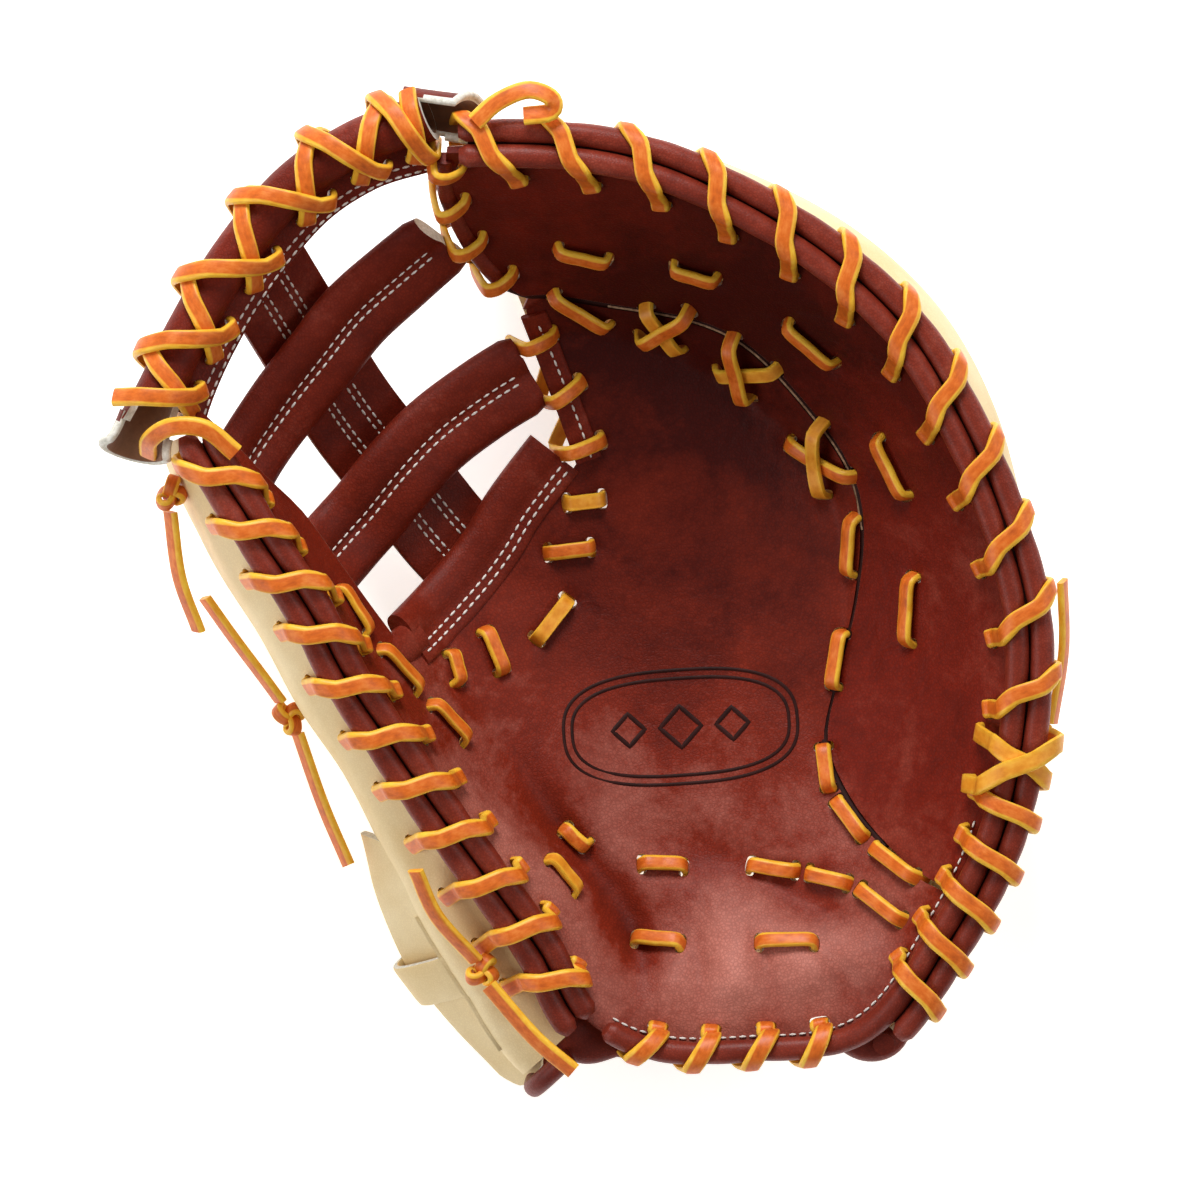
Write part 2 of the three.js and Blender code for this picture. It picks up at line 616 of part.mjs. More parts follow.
// A lace sewn in and out of a panel. Each stitch has the places of its two holes in percent, and
// over and under say how far above and below the leather it runs, as shares of LEATHER. A last
// true says that the stitch starts on a web bar.
function sewnLace({ stitches, over = 0, under = 0 }) {
  const points = [];
  const ups = [];
  const through = [];
  const add = (x, y, height) => {
    const { point, normal } = onBowl(x, y);
    points.push(point.addScaledVector(normal, height));
    ups.push(normal);
  };
  const high = laceLift + 2 * GAP + over * LEATHER;
  const low = -(laceLift + LEATHER + 0.5 + under * LEATHER);
  const bar = WEB_BAR_THICKNESS / 2;
  let last = null;
  for (const [x0, y0, x1, y1, onBar = false] of stitches) {
    const extra = onBar ? bar : 0;
    if (last) add((last[0] + x0) / 2, (last[1] + y0) / 2, low - extra / 2);
    through.push([points.length, points.length + 1]);
    add(x0, y0, low - extra);
    add(x0, y0, high + extra);
    add(x0 + (x1 - x0) * 0.5, y0 + (y1 - y0) * 0.5, high + extra + 0.4);
    through.push([points.length, points.length]);
    add(x1, y1, high);
    add(x1, y1, low);
    last = [x1, y1];
  }
  return ribbon(points, ups, through);
}

// A free end of lace, from a knot to its cut end. Places in percent, up as a share of RIM_HEIGHT.
function tail(rows, face) {
  const line = rows.map((row, i) => ({ ...row, t: i / (rows.length - 1) }));
  const points = [];
  for (let i = 0; i <= 8; i += 1) {
    const at = place(value(line, "x", i / 8, "t"), value(line, "y", i / 8, "t"));
    points.push(new THREE.Vector3(at.x, at.y, value(line, "up", i / 8, "t") * RIM_HEIGHT));
  }
  return ribbon(points, points.map(() => face)).lace;
}

function knot({ x, y, up, turn, tip }) {
  const ball = new THREE.SphereGeometry(KNOT_DIAMETER / 2, 8, 5);
  ball.scale(1.25, 0.95, 0.8).rotateX(radians(tip)).rotateZ(radians(turn));
  const at = place(x, y);
  return solid(ball.translate(at.x, at.y, up * RIM_HEIGHT));
}

const OVER_WELTS = [
  [1, -12],
  [1, 35],
  [1, 88],
  [-1, 92],
  [-1, 145],
  [-1, 192],
];
const OVER_HEEL = [
  [-1, -20],
  [-1, 20],
  [-1, 60],
  [-1, 100],
  [-1, 140],
  [-1, 190],
];
const FINGERS = { from: 112, to: -57 };
const THUMB = { from: 158, to: 261 };

const WHIPS = {
  finger_rim_lace: {
    bearings: spacedBearings(109, -17, RIM_LACE_PITCH),
    slant: [0.66, 0.66],
    over: OVER_WELTS,
    outerHole: backHole,
  },
  corner_rim_lace: {
    bearings: spacedBearings(-26, -54, RIM_LACE_PITCH * 0.66),
    slant: [-0.3, -0.4],
    over: OVER_WELTS,
    outerHole: backHole,
    lift: laceLift + 1.7 * GAP,
  },
  thumb_rim_lace: {
    bearings: spacedBearings(162, 256, THUMB_LACE_PITCH),
    slant: [0.9, 0.4],
    over: OVER_WELTS,
    outerHole: backHole,
    lift: laceLift + 2.1 * GAP,
    inset: [0.74, 1],
  },
  heel_lace: {
    bearings: spacedBearings(-90, -62, HEEL_LACE_PITCH),
    slant: [0.6, 0.6],
    over: OVER_HEEL,
    outerHole: heelEdge,
    inside: false,
    lift: laceLift + 1.3 * GAP,
  },
};

// Lace stitches across the palm and finger panels.
const SEWN = {
  finger_face_lace: {
    stitches: [
      [-4.9, 33.8, 1.3, 32.5],
      [7.4, 32.0, 12.8, 30.5],
      [19.5, 26.5, 25.3, 21.8],
      [29.3, 15.2, 32.8, 8.4],
      [33.3, 1.4, 32.8, -6.4],
    ],
  },
  palm_edge_lace: {
    stitches: [
      [27.2, 7.2, 26.7, 0.6],
      [26.0, -4.4, 24.9, -10.7],
      [23.8, -15.9, 24.5, -20.8],
      [25.0, -21.4, 28.3, -25.6],
      [28.9, -26.1, 33.9, -29.6],
    ],
  },
  little_finger_lace: {
    stitches: [
      [15.7, -28.2, 21.2, -28.8],
      [21.9, -28.9, 26.7, -30.1],
      [27.3, -30.3, 32.5, -33.9],
    ],
  },
  heel_pad_lace: {
    stitches: [
      [4.1, -28.1, 9.3, -28.4],
      [9.0, -36.1, 3.5, -35.6],
    ],
  },
  heel_middle_lace: { stitches: [[16.6, -35.9, 23.3, -36.0]] },
  thumb_pad_lace: {
    stitches: [
      [-4.0, -24.4, -1.2, -26.4],
      [-2.4, -31.3, -5.8, -27.4],
    ],
  },
  palm_web_lace: {
    stitches: [
      [-16.0, -6.6, -15.1, -10.1],
      [-10.3, -9.0, -12.4, -4.3],
      [-7.0, -5.8, -3.2, -1.2],
      [-0.6, 3.8, -5.9, 3.2],
      [-3.8, 8.2, 0.5, 8.7],
    ],
  },
  web_finger_lace: {
    stitches: [
      [-17.6, 38.2, -13.9, 38.6, true],
      [-16.2, 34.2, -12.1, 34.8, true],
      [-13.0, 30.6, -8.9, 31.4, true],
    ],
  },
  web_palm_lace: {
    stitches: [
      [-8.9, 23.9, -4.6, 25.4, true],
      [-5.8, 18.4, -1.8, 20.6, true],
      [-4.4, 13.3, 0.5, 14.7, true],
    ],
  },
  thumb_edge_lace: {
    stitches: [
      [-28.0, 0.0, -24.5, -5.2],
      [-23.6, -6.1, -19.0, -10.9],
      [-18.2, -11.7, -14.0, -15.9],
    ],
  },
  joint_lace_low: {
    stitches: [
      [-5.4, 29.4, 1.3, 25.7],
      [4.6, 28.2, 8.8, 23.2],
      [12.0, 21.4, 19.3, 21.6],
      [19.7, 14.6, 27.3, 10.6],
    ],
  },
  joint_lace_high: {
    stitches: [
      [4.0, 24.8, 9.9, 27.7],
      [14.0, 25.4, 16.0, 18.4],
      [23.6, 16.8, 24.0, 8.6],
    ],
    over: 1.1,
    under: 1.1,
  },
};

const group = new THREE.Group();
const COLOURS = {
  brown: { color: 0x6b2a22, roughness: 0.55 },
  welt: { color: 0x5a2620, roughness: 0.45 },
  blonde: { color: 0xe8d3a4, roughness: 0.6 },
  lace: { color: 0xd9761f, roughness: 0.55 },
};
function addPiece(name, manifold, colour) {
  const material = new THREE.MeshStandardMaterial({ ...COLOURS[colour], metalness: 0 });
  const mesh = new THREE.Mesh(geometryOf(manifold), material);
  mesh.name = name;
  group.add(mesh);
}

const rings = [0, 0.16, 0.32, 0.46, 0.56, 0.64, 0.74, 0.84, 0.92, 1];
const leather = bowlWall(42, rings);
const far = 70;
const palmOutline = [
  ...SEAM,
  { x: far, y: -33.5 },
  { x: far, y: -far },
  { x: -far, y: -far },
  { x: -far, y: 16.8 },
  ...[...WEB_SIDE_OF_PALM].reverse(),
  PALM_TOP_CORNER,
];
const seamGap = (GAP / MITT_WIDTH) * 100 * 2;
const fingerOutline = [
  ...SEAM.map(({ x, y }) => ({ x: x + seamGap, y: y + seamGap })).reverse(),
  ...[...WEB_SIDE_OF_FINGERS].reverse(),
  { x: -16.1, y: far },
  { x: far, y: far },
  { x: far, y: -33.5 + seamGap },
];
// The thumb's back ends just under the palm's edge, so that the web stays open to the floor.
const tuck = { x: (BACK_TUCK / MITT_WIDTH) * 100, y: (BACK_TUCK / MITT_LENGTH) * 100 };
const openWeb = [
  ...WEB_SIDE_OF_PALM.slice(0, 2).map(({ x, y }) => ({ x: x + tuck.x, y: y - tuck.y })),
  { x: WEB_SIDE_OF_PALM[2].x, y: WEB_SIDE_OF_PALM[2].y - 2 * tuck.y },
  ...WEB_SIDE_OF_PALM.slice(3).map(({ x, y }) => ({ x: x - tuck.x, y: y - tuck.y })),
  { x: -42 - tuck.x, y: far },
  { x: far, y: far },
];
const pieces = {
  palm: leather.intersect(column(palmOutline)),
  finger_face: leather.intersect(column(fingerOutline)),
  finger_back: backPanel(FINGERS.from, FINGERS.to, 20, 10),
  thumb_back: backPanel(THUMB.from, THUMB.to, 11, 10).subtract(column(openWeb)),
  web_upper_bar: sweep(webStations(UPPER_BAR, 12), ovalSection(WEB_BAR_WIDTH, WEB_BAR_THICKNESS, 10)),
  web_lower_bar: sweep(webStations(LOWER_BAR, 12), ovalSection(WEB_BAR_WIDTH, WEB_BAR_THICKNESS, 10)),
  web_base_bar: sweep(webStations(BASE_BAR, 8), ovalSection(BASE_BAR_WIDTH, WEB_BAR_THICKNESS, 10)),
};

const laces = {};
const slots = [];
for (const [name, spec] of Object.entries(WHIPS)) laces[name] = whipLace(spec);
for (const [name, spec] of Object.entries(SEWN)) laces[name] = sewnLace(spec);
for (const [name, made] of Object.entries(laces)) {
  addPiece(name, made.lace, "lace");
  slots.push(...made.slots);
}
const allSlots = wasm.Manifold.union(slots);
for (const key of Object.keys(pieces)) pieces[key] = pieces[key].subtract(allSlots);
addPiece("palm", pieces.palm, "brown");
addPiece("finger_face", pieces.finger_face, "brown");
addPiece("finger_back", pieces.finger_back, "blonde");
addPiece("thumb_back", pieces.thumb_back, "blonde");
addPiece("palm_welt", welt(FINGERS.from, -96, 38, -1), "welt");
addPiece("finger_welt_outer", welt(FINGERS.from, FINGERS.to, 30, 1), "welt");
addPiece("thumb_welt_inner", welt(THUMB.from, THUMB.to, 15, -1), "welt");
addPiece("thumb_welt_outer", welt(THUMB.from, THUMB.to, 15, 1), "welt");

for (const name of ["web_upper_bar", "web_lower_bar", "web_base_bar"]) addPiece(name, pieces[name], "brown");
addPiece(
  "web_post",
  sweep(webStations(POST, 14), flatSection(WEB_POST_WIDTH, WEB_POST_THICKNESS)),
  "brown",
);

// The top bar: a rolled tube with a stitched flange on its inner side, open at both ends.
function topBarStations(count) {
  const rows = TOP_BAR.map((row, i) => ({ ...row, t: i / (TOP_BAR.length - 1) }));
  const points = [];
  for (let i = 0; i <= count; i += 1) {
    const t = i / count;
    const at = place(value(rows, "x", t, "t"), value(rows, "y", t, "t"));
    points.push(new THREE.Vector3(at.x, at.y, value(rows, "up", t, "t") * RIM_HEIGHT));
  }
  const stations = stationsOf(points, points.map(() => new THREE.Vector3(0.3, -0.3, 1).normalize()));
  return stations.map((station, i) => ({ ...station, scale: value(rows, "flare", i / count, "t") }));
}

const tubeCentre = TOP_BAR_FLANGE / 2;
const tubeRadius = TOP_BAR_DIAMETER / 2;
const tubeSection = (radius) =>
  ovalSection(2 * radius, 2 * radius, 8).map(([across, above]) => [tubeCentre + across, above]);
const flangeEdge = tubeCentre - tubeRadius - TOP_BAR_FLANGE;
const flangeSection = [
  [flangeEdge, -TOP_BAR_WALL],
  [tubeCentre - tubeRadius + 1, -TOP_BAR_WALL],
  [tubeCentre - tubeRadius + 1, TOP_BAR_WALL],
  [flangeEdge, TOP_BAR_WALL],
];

const topStations = topBarStations(18);
const longer = topStations.map((station, i) => {
  const next = topStations[i === 0 ? 1 : i - 1];
  const end = i === 0 || i === topStations.length - 1;
  const push = end ? station.point.clone().sub(next.point) : new THREE.Vector3();
  return { ...station, point: station.point.clone().add(push) };
});
let topBar = sweep(topStations, tubeSection(tubeRadius)).add(sweep(topStations.slice(2, -2), flangeSection));
topBar = topBar.subtract(sweep(longer, tubeSection(tubeRadius - TOP_BAR_WALL)));

// A lace wound round the top bar: over the tube, under it and up through the flange. from and to
// are shares of the bar's length, lean is how far each pass over the top runs along the bar.
function woundLace({ from, to, turns, lean, lift }) {
  const points = [];
  const ups = [];
  const through = [];
  const step = (to - from) / turns;
  const add = (share, across, above, turn) => {
    const k = Math.min(Math.max(share, 0), 1) * (topStations.length - 1);
    const i = Math.min(Math.floor(k), topStations.length - 2);
    const [a, b] = [topStations[i], topStations[i + 1]];
    const scale = THREE.MathUtils.lerp(a.scale, b.scale, k - i);
    const side = a.side.clone().lerp(b.side, k - i).normalize();
    const up = a.up.clone().lerp(b.up, k - i).normalize();
    const point = a.point.clone().lerp(b.point, k - i);
    points.push(point.addScaledVector(side, across * scale).addScaledVector(up, above * scale));
    ups.push(side.multiplyScalar(Math.cos(radians(turn))).addScaledVector(up, Math.sin(radians(turn))));
  };
  const round = tubeRadius + lift;
  const hole = tubeCentre - tubeRadius - 3.4;
  for (let i = 0; i <= turns; i += 1) {
    const start = from + step * i;
    through.push([points.length, points.length + 1]);
    add(start, hole, -TOP_BAR_WALL - lift, 90);
    add(start, hole, TOP_BAR_WALL + lift, 90);
    [125, 85, 45, 5, -35, -75, -110].forEach((turn, k) => {
      const share = start + (turn >= 0 ? ((k + 1) / 4) * lean : lean + ((k - 3) / 4) * (step - lean));
      const at = [tubeCentre + round * Math.cos(radians(turn)), round * Math.sin(radians(turn))];
      if (i < turns || turn >= 0) add(share, at[0], at[1], turn);
    });
  }
  return ribbon(points, ups, through);
}

const WOUND = {
  web_top_lace_low: { from: 0.88, to: 0.17, turns: 5, lean: -0.1, lift: laceLift + 2.3 * GAP },
  web_top_lace_high: {
    from: 0.1,
    to: 0.81,
    turns: 5,
    lean: 0.11,
    lift: laceLift + LACE_THICKNESS + 4.2 * GAP,
  },
};
for (const [name, spec] of Object.entries(WOUND)) {
  const made = woundLace(spec);
  topBar = topBar.subtract(wasm.Manifold.union(made.slots));
  addPiece(name, made.lace, "lace");
}
addPiece("web_top_bar", topBar, "brown");

// The strap across the back of the wrist. Its ends lie on the two backs and its middle hangs
// between them, clear of the floor. across runs over its width.
function strapFace(along, across) {
  const onBack = (bearing, t, off) => {
    const normal = normalOf(backFace, bearing, t, 1, 0.01);
    if (normal.dot(rimFrame(bearing).out) < 0) normal.negate();
    return backFace(bearing, t).addScaledVector(normal, off);
  };
  const thumbBearing = THREE.MathUtils.lerp(236, 259, across);
  const fingerBearing = THREE.MathUtils.lerp(-43, -57, across);
  const ends = [
    [0.2, 0.34, 0.46].map((t) => onBack(thumbBearing, t, 3 * GAP)),
    [0.48, 0.36, 0.24].map((t) => onBack(fingerBearing, t, LEATHER + 4 * GAP)),
  ];
  const middle = place(THREE.MathUtils.lerp(3, 6, across), THREE.MathUtils.lerp(-30, -41, across));
  const low = new THREE.Vector3(middle.x, middle.y, 7);
  const curve = new THREE.CatmullRomCurve3([...ends[0], low, ...ends[1]], false, "catmullrom", 0.5);
  return curve.getPoint(along);
}
const strap = wall(16, 2, (u, v) => strapFace(u, v), 1);
addPiece("wrist_strap", strap, "blonde");

// The rolled edge of each back at the wrist, running down from the welts and under the hand.
function wristBinding(bearing, beyond) {
  const points = [];
  const ups = [];
  for (let i = 0; i <= 10; i += 1) {
    const t = 0.05 + (0.85 * i) / 10;
    const normal = normalOf(backFace, bearing, t, 1, 0.01);
    const along = rimFrame(bearing).along.setZ(0).normalize();
    points.push(backFace(bearing, t).addScaledVector(along, beyond));
    ups.push(normal);
  }
  return sweep(stationsOf(points, ups), ovalSection(6.4, 6.4, 6)).intersect(aboveFloor());
}
addPiece("thumb_wrist_binding", wristBinding(THUMB.to, 5), "welt");
addPiece("finger_wrist_binding", wristBinding(FINGERS.to, -5), "welt");

// Knots, loose loops and the free ends of the laces. up is a share of RIM_HEIGHT.
const KNOTS = {
  right_knot: { x: 47.4, y: -15.8, up: 0.673, turn: 75, tip: 20 },
  left_knot: { x: -45.3, y: 9.1, up: 0.793, turn: 60, tip: 30 },
  thumb_side_knot: { x: -33.0, y: -13.3, up: 0.5, turn: 120, tip: 0 },
  wrist_knot: { x: -12.4, y: -38.8, up: 0.6, turn: 40, tip: 10 },
};
const LOOPS = {
  finger_corner_loop: {
    rows: [
      { x: -12.6, y: 46.2, up: 1.06 },
      { x: -10.6, y: 48.6, up: 1.07 },
      { x: -7.4, y: 49.2, up: 1.08 },
      { x: -5.3, y: 47.6, up: 1.075 },
      { x: -7.6, y: 46.0, up: 1.065 },
    ],
    face: new THREE.Vector3(0.2, 0.3, 1),
  },
  thumb_corner_loop: {
    rows: [
      { x: -47.4, y: 12.2, up: 0.87 },
      { x: -46.9, y: 12.5, up: 0.96 },
      { x: -44.6, y: 14.0, up: 1.016 },
      { x: -41.2, y: 14.6, up: 1.026 },
      { x: -38.2, y: 12.8, up: 1.011 },
    ],
    face: new THREE.Vector3(-0.2, -0.2, 1),
  },
  thumb_side_lace: {
    rows: [
      { x: -42.0, y: -1.3, up: 0.6 },
      { x: -39.0, y: -5.3, up: 0.57 },
      { x: -36.0, y: -9.1, up: 0.53 },
      { x: -34.0, y: -11.7, up: 0.5 },
    ],
    face: new THREE.Vector3(-0.8, -0.5, 0.5),
  },
};
const TAILS = {
  right_tail: {
    rows: [
      { x: 48.0, y: -13.9, up: 0.67 },
      { x: 49.2, y: -6.5, up: 0.69 },
      { x: 49.0, y: 0.4, up: 0.75 },
    ],
    face: new THREE.Vector3(1, 0, 0.4),
  },
  left_tail: {
    rows: [
      { x: -45.5, y: 7.3, up: 0.785 },
      { x: -44.6, y: 0.8, up: 0.74 },
      { x: -42.6, y: -4.6, up: 0.68 },
    ],
    face: new THREE.Vector3(-0.8, -0.2, 0.6),
  },
  thumb_side_tail: {
    rows: [
      { x: -32.2, y: -14.9, up: 0.485 },
      { x: -29.6, y: -22.0, up: 0.46 },
      { x: -26.8, y: -28.2, up: 0.46 },
    ],
    face: new THREE.Vector3(-0.8, -0.4, 0.5),
  },
  wrist_tail_up: {
    rows: [
      { x: -13.2, y: -37.7, up: 0.615 },
      { x: -17.4, y: -33.2, up: 0.68 },
      { x: -19.6, y: -28.6, up: 0.74 },
    ],
    face: new THREE.Vector3(-0.5, -0.4, 0.7),
  },
  wrist_tail_down: {
    rows: [
      { x: -11.8, y: -40.2, up: 0.605 },
      { x: -7.0, y: -45.4, up: 0.6 },
      { x: -2.8, y: -48.8, up: 0.6 },
    ],
    face: new THREE.Vector3(-0.4, -0.4, 0.8),
  },
};
for (const [name, spec] of Object.entries(KNOTS)) addPiece(name, knot(spec), "lace");
for (const [name, { rows, face }] of Object.entries({ ...LOOPS, ...TAILS })) {
  addPiece(name, tail(rows, face), "lace");
}

// The rolled loop that keeps the strap's end, standing on the strap beside the thumb's heel.
const keeperEnds = [-21.6, -39.1, -15.6, -43.5];
const keeperLine = [0, 0.25, 0.5, 0.75, 1].map((t) => {
  const at = place(
    THREE.MathUtils.lerp(keeperEnds[0], keeperEnds[2], t),
    THREE.MathUtils.lerp(keeperEnds[1], keeperEnds[3], t),
  );
  return new THREE.Vector3(at.x, at.y, 0.36 * RIM_HEIGHT);
});
const keeperUps = keeperLine.map(() => new THREE.Vector3(0, 0, 1));
addPiece("strap_keeper", sweep(stationsOf(keeperLine, keeperUps), ovalSection(8, 11, 8)), "blonde");

// The part's origin is the middle of its underside.
const box = new THREE.Box3();
for (const mesh of group.children) {
  if (!(mesh.name in TAILS)) box.expandByObject(mesh);
}
const middle = box.getCenter(new THREE.Vector3());
for (const mesh of group.children) mesh.geometry.translate(-middle.x, -middle.y, -box.min.z);

export default group;
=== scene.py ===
"""First baseman mitt for the left hand, lying open on its back with the pocket up.

Every length is in millimetres until a mesh is made, and places on the mitt are in percent of its
width and length from its middle, as in the part's own source."""
import math
from bisect import bisect_right
from collections import namedtuple
from functools import lru_cache

import bmesh
import bpy
from mathutils import Matrix, Vector
from mathutils.kdtree import KDTree


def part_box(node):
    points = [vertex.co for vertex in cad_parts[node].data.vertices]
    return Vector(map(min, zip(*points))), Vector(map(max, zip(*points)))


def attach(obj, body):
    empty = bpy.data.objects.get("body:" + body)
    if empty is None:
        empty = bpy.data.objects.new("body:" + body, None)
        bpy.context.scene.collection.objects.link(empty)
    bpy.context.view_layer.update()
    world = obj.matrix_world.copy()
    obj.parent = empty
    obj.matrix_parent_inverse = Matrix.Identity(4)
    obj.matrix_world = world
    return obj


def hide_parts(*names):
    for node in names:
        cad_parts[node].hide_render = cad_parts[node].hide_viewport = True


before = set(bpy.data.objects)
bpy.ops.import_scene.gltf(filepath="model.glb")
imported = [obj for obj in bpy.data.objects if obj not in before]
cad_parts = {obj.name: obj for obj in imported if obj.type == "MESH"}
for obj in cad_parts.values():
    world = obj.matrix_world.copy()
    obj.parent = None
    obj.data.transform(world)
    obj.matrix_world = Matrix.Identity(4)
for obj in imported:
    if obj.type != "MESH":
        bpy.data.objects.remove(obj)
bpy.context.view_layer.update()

MM = 0.001
UP = Vector((0, 0, 1))

# Driving sizes, the same as the part's.
MITT_WIDTH = 288
MITT_LENGTH = 305
RIM_HEIGHT = 118
POCKET_HEIGHT = 38
LEATHER = 2.4
WELT_DIAMETER = 7.2
WELT_SPACING = 7.7
LACE_WIDTH = 5.2
LACE_THICKNESS = 1.7
LACE_HOLE_INSET = 11
RIM_LACE_PITCH = 24
THUMB_LACE_PITCH = 19
HEEL_LACE_PITCH = 18
WEB_BAR_WIDTH = 27
WEB_BAR_THICKNESS = 7
WEB_POST_WIDTH = 30
WEB_POST_THICKNESS = 3.4
TOP_BAR_DIAMETER = 14
TOP_BAR_FLANGE = 9
TOP_BAR_WALL = 1.8
BACK_TUCK = 2.5
KNOT_DIAMETER = 9
GAP = 0.35
POCKET = (4.3, -3.6)

# Sizes that only the finished looks have. The leather sinks round a lace hole by HOLE_DENT, out to
# HOLE_DENT_REACH. DIP is the share of a stitch over which its lace comes up out of its hole.
STITCH_PITCH = 3.1
STITCH_LENGTH = 2.3
THREAD = 0.75
HOLE_DENT = 1.1
HOLE_DENT_RADIUS = 3
HOLE_DENT_REACH = 7
SLOT_ROOM_ACROSS = 1.3
SLOT_ROOM_ABOVE = 1.5
SEAM_OPENING = 1.2
DIP = 0.12
SEEN_LACE_WIDTH = 1.08 * LACE_WIDTH
SEEN_LACE_THICKNESS = 1.15 * LACE_THICKNESS
SEWN_LACE_WIDTH = 0.9 * LACE_WIDTH
TIED_LACE_WIDTH = 0.82 * LACE_WIDTH

# Angles in degrees past which an edge is drawn sharp.
SHARP = 38
SHARP_ON_LACE = 50
SHARP_ON_THREAD = 80


def table(columns, *rows):
    """Rows with named columns."""
    row_type = namedtuple("Row", columns)
    return [row_type(*row) for row in rows]


# The rim all the way round. reach is from the pocket's middle to the line between the two welts,
# up a share of RIM_HEIGHT, knee and knee_up where the wall turns up, crease how sharply, and
# bulge how far the back leather stands out past the welts.
RIM = table(
    "bearing reach up knee knee_up crease bulge",
    (-99, 40.9, 0.57, 0.8, 0.7, 0, 7.4),
    (-90, 44.0, 0.53, 0.8, 0.8, 0, 5),
    (-75, 46.0, 0.54, 0.8, 0.8, 0, 0),
    (-60, 48.8, 0.59, 0.8, 0.68, 0, 0),
    (-45, 46.0, 0.69, 0.75, 0.42, 0.3, 0),
    (-30, 44.0, 0.76, 0.55, 0.16, 0.6, 0.2),
    (-15, 42.0, 0.81, 0.52, 0.13, 0.8, 0.4),
    (0, 41.0, 0.85, 0.54, 0.13, 0.9, 0.8),
    (15, 39.6, 0.88, 0.58, 0.14, 1, 1.7),
    (30, 39.3, 0.91, 0.62, 0.16, 1, 3.2),
    (45, 40.3, 0.94, 0.62, 0.16, 1, 3.6),
    (60, 41.3, 0.96, 0.61, 0.16, 1, 3.4),
    (75, 43.0, 0.98, 0.61, 0.17, 1, 2.6),
    (90, 46.0, 0.99, 0.61, 0.18, 1, 1.6),
    (105, 49.2, 1.0, 0.62, 0.2, 0.8, 1.0),
    (113, 51.6, 1.0, 0.62, 0.22, 0.4, 0.8),
    (124, 55.6, 0.96, 0.6, 0.3, 0, 1),
    (136, 57.0, 0.93, 0.6, 0.34, 0, 1),
    (148, 55.4, 0.94, 0.6, 0.32, 0, 2),
    (157, 51.2, 0.97, 0.62, 0.28, 0, 3.4),
    (166, 42.8, 0.96, 0.64, 0.22, 0, 4.8),
    (177, 35.6, 0.93, 0.64, 0.2, 0, 5.2),
    (190, 31.8, 0.88, 0.62, 0.2, 0, 5.2),
    (205, 29.2, 0.82, 0.62, 0.2, 0, 5.2),
    (222, 28.8, 0.76, 0.64, 0.24, 0, 6.4),
    (238, 30.6, 0.7, 0.68, 0.34, 0, 7.8),
    (252, 34.8, 0.62, 0.74, 0.5, 0, 8.4),
)

# Pads and folds pressed into the palm: place and half sizes, turn in degrees, rise as a share of
# LEATHER.
FORMS = table(
    "x y across along turn rise",
    (-10, -33, 7, 12, 25, 2.0),
    (19, -38, 13, 7, 15, 2.4),
    (-3.5, -26, 2.3, 12, 36, -2.2),
    (7, -33, 4, 9, -10, -1.2),
    (20, -31, 12, 2.6, -24, -1.8),
)

# Smaller pads and creases, as the leather has taken them in use.
FOLDS = table(
    "x y across along turn rise",
    (3.2, -34.2, 1.9, 5.5, 14, -1.1),
    (-1.6, -27, 1.7, 6, 42, -0.7),
    (7.1, -39.9, 2.1, 3.8, 0, 1.0),
    (10.8, -39.6, 1.1, 4.2, 4, -0.9),
    (14.2, -39.2, 2.1, 3.8, 8, 0.9),
    (17.8, -39.4, 1.2, 4.4, 14, -0.9),
    (22.4, -38.6, 2.2, 3.6, 18, 0.7),
    (25.8, -39.8, 1.1, 4, 30, -0.8),
    (28.8, -37.2, 2.2, 3.6, 34, 0.9),
    (6.8, -30.8, 3.2, 2.8, 0, 0.8),
    (16, -30.4, 4, 2.4, -10, 0.7),
    (-12.9, -19.3, 2.0, 7, 36, -1.1),
    (-6.5, -38, 3.4, 2, -30, 0.9),
    (-9.2, -30.5, 1.3, 5.5, 33, -0.7),
)

# How the back leather runs from the welts down and under to its inner edge.
BACK = table(
    "t out up bulge",
    (0, 1.0, 1, 0),
    (0.14, 1.0, 0.81, 0.85),
    (0.3, 0.99, 0.53, 1),
    (0.46, 0.93, 0.26, 0.8),
    (0.6, 0.82, 0.08, 0.4),
    (0.72, 0.68, 0, 0),
    (1, 0.34, 0, 0),
)
BACK_LIFT = table(
    "bearing lift",
    (-60, 0.2),
    (-46, 0.15),
    (-28, 0),
    (100, 0),
    (228, 0),
    (246, 0.1),
    (264, 0.16),
)

# Outlines of the palm and finger panels seen from above.
SEAM = table(
    "x y",
    (-5.7, 28.8),
    (0.8, 27.8),
    (9.5, 26.3),
    (15.8, 23.4),
    (22.0, 17.3),
    (26.2, 11.5),
    (27.7, 5.5),
    (27.0, -2),
    (25.0, -10),
    (23.9, -16.2),
    (26.3, -21.8),
    (30.1, -26.4),
    (34.6, -29.9),
    (44.0, -33.5),
)
WEB_SIDE_OF_PALM = table(
    "x y",
    (-2.4, 12.4),
    (-9.9, 2.2),
    (-19.6, -7.4),
    (-22.2, -4.8),
    (-27.9, 2.6),
    (-31.6, 7.4),
    (-35.5, 11.0),
    (-39.2, 14.7),
    (-42.0, 17.2),
)
WEB_SIDE_OF_FINGERS = table(
    "x y",
    (-16.1, 44.0),
    (-16.4, 39.6),
    (-15.4, 36.9),
    (-13.2, 33.2),
    (-10.8, 30.6),
    (-8.3, 29.0),
)
PALM_TOP_CORNER = (-7.9, 27.6)
FAR = 70

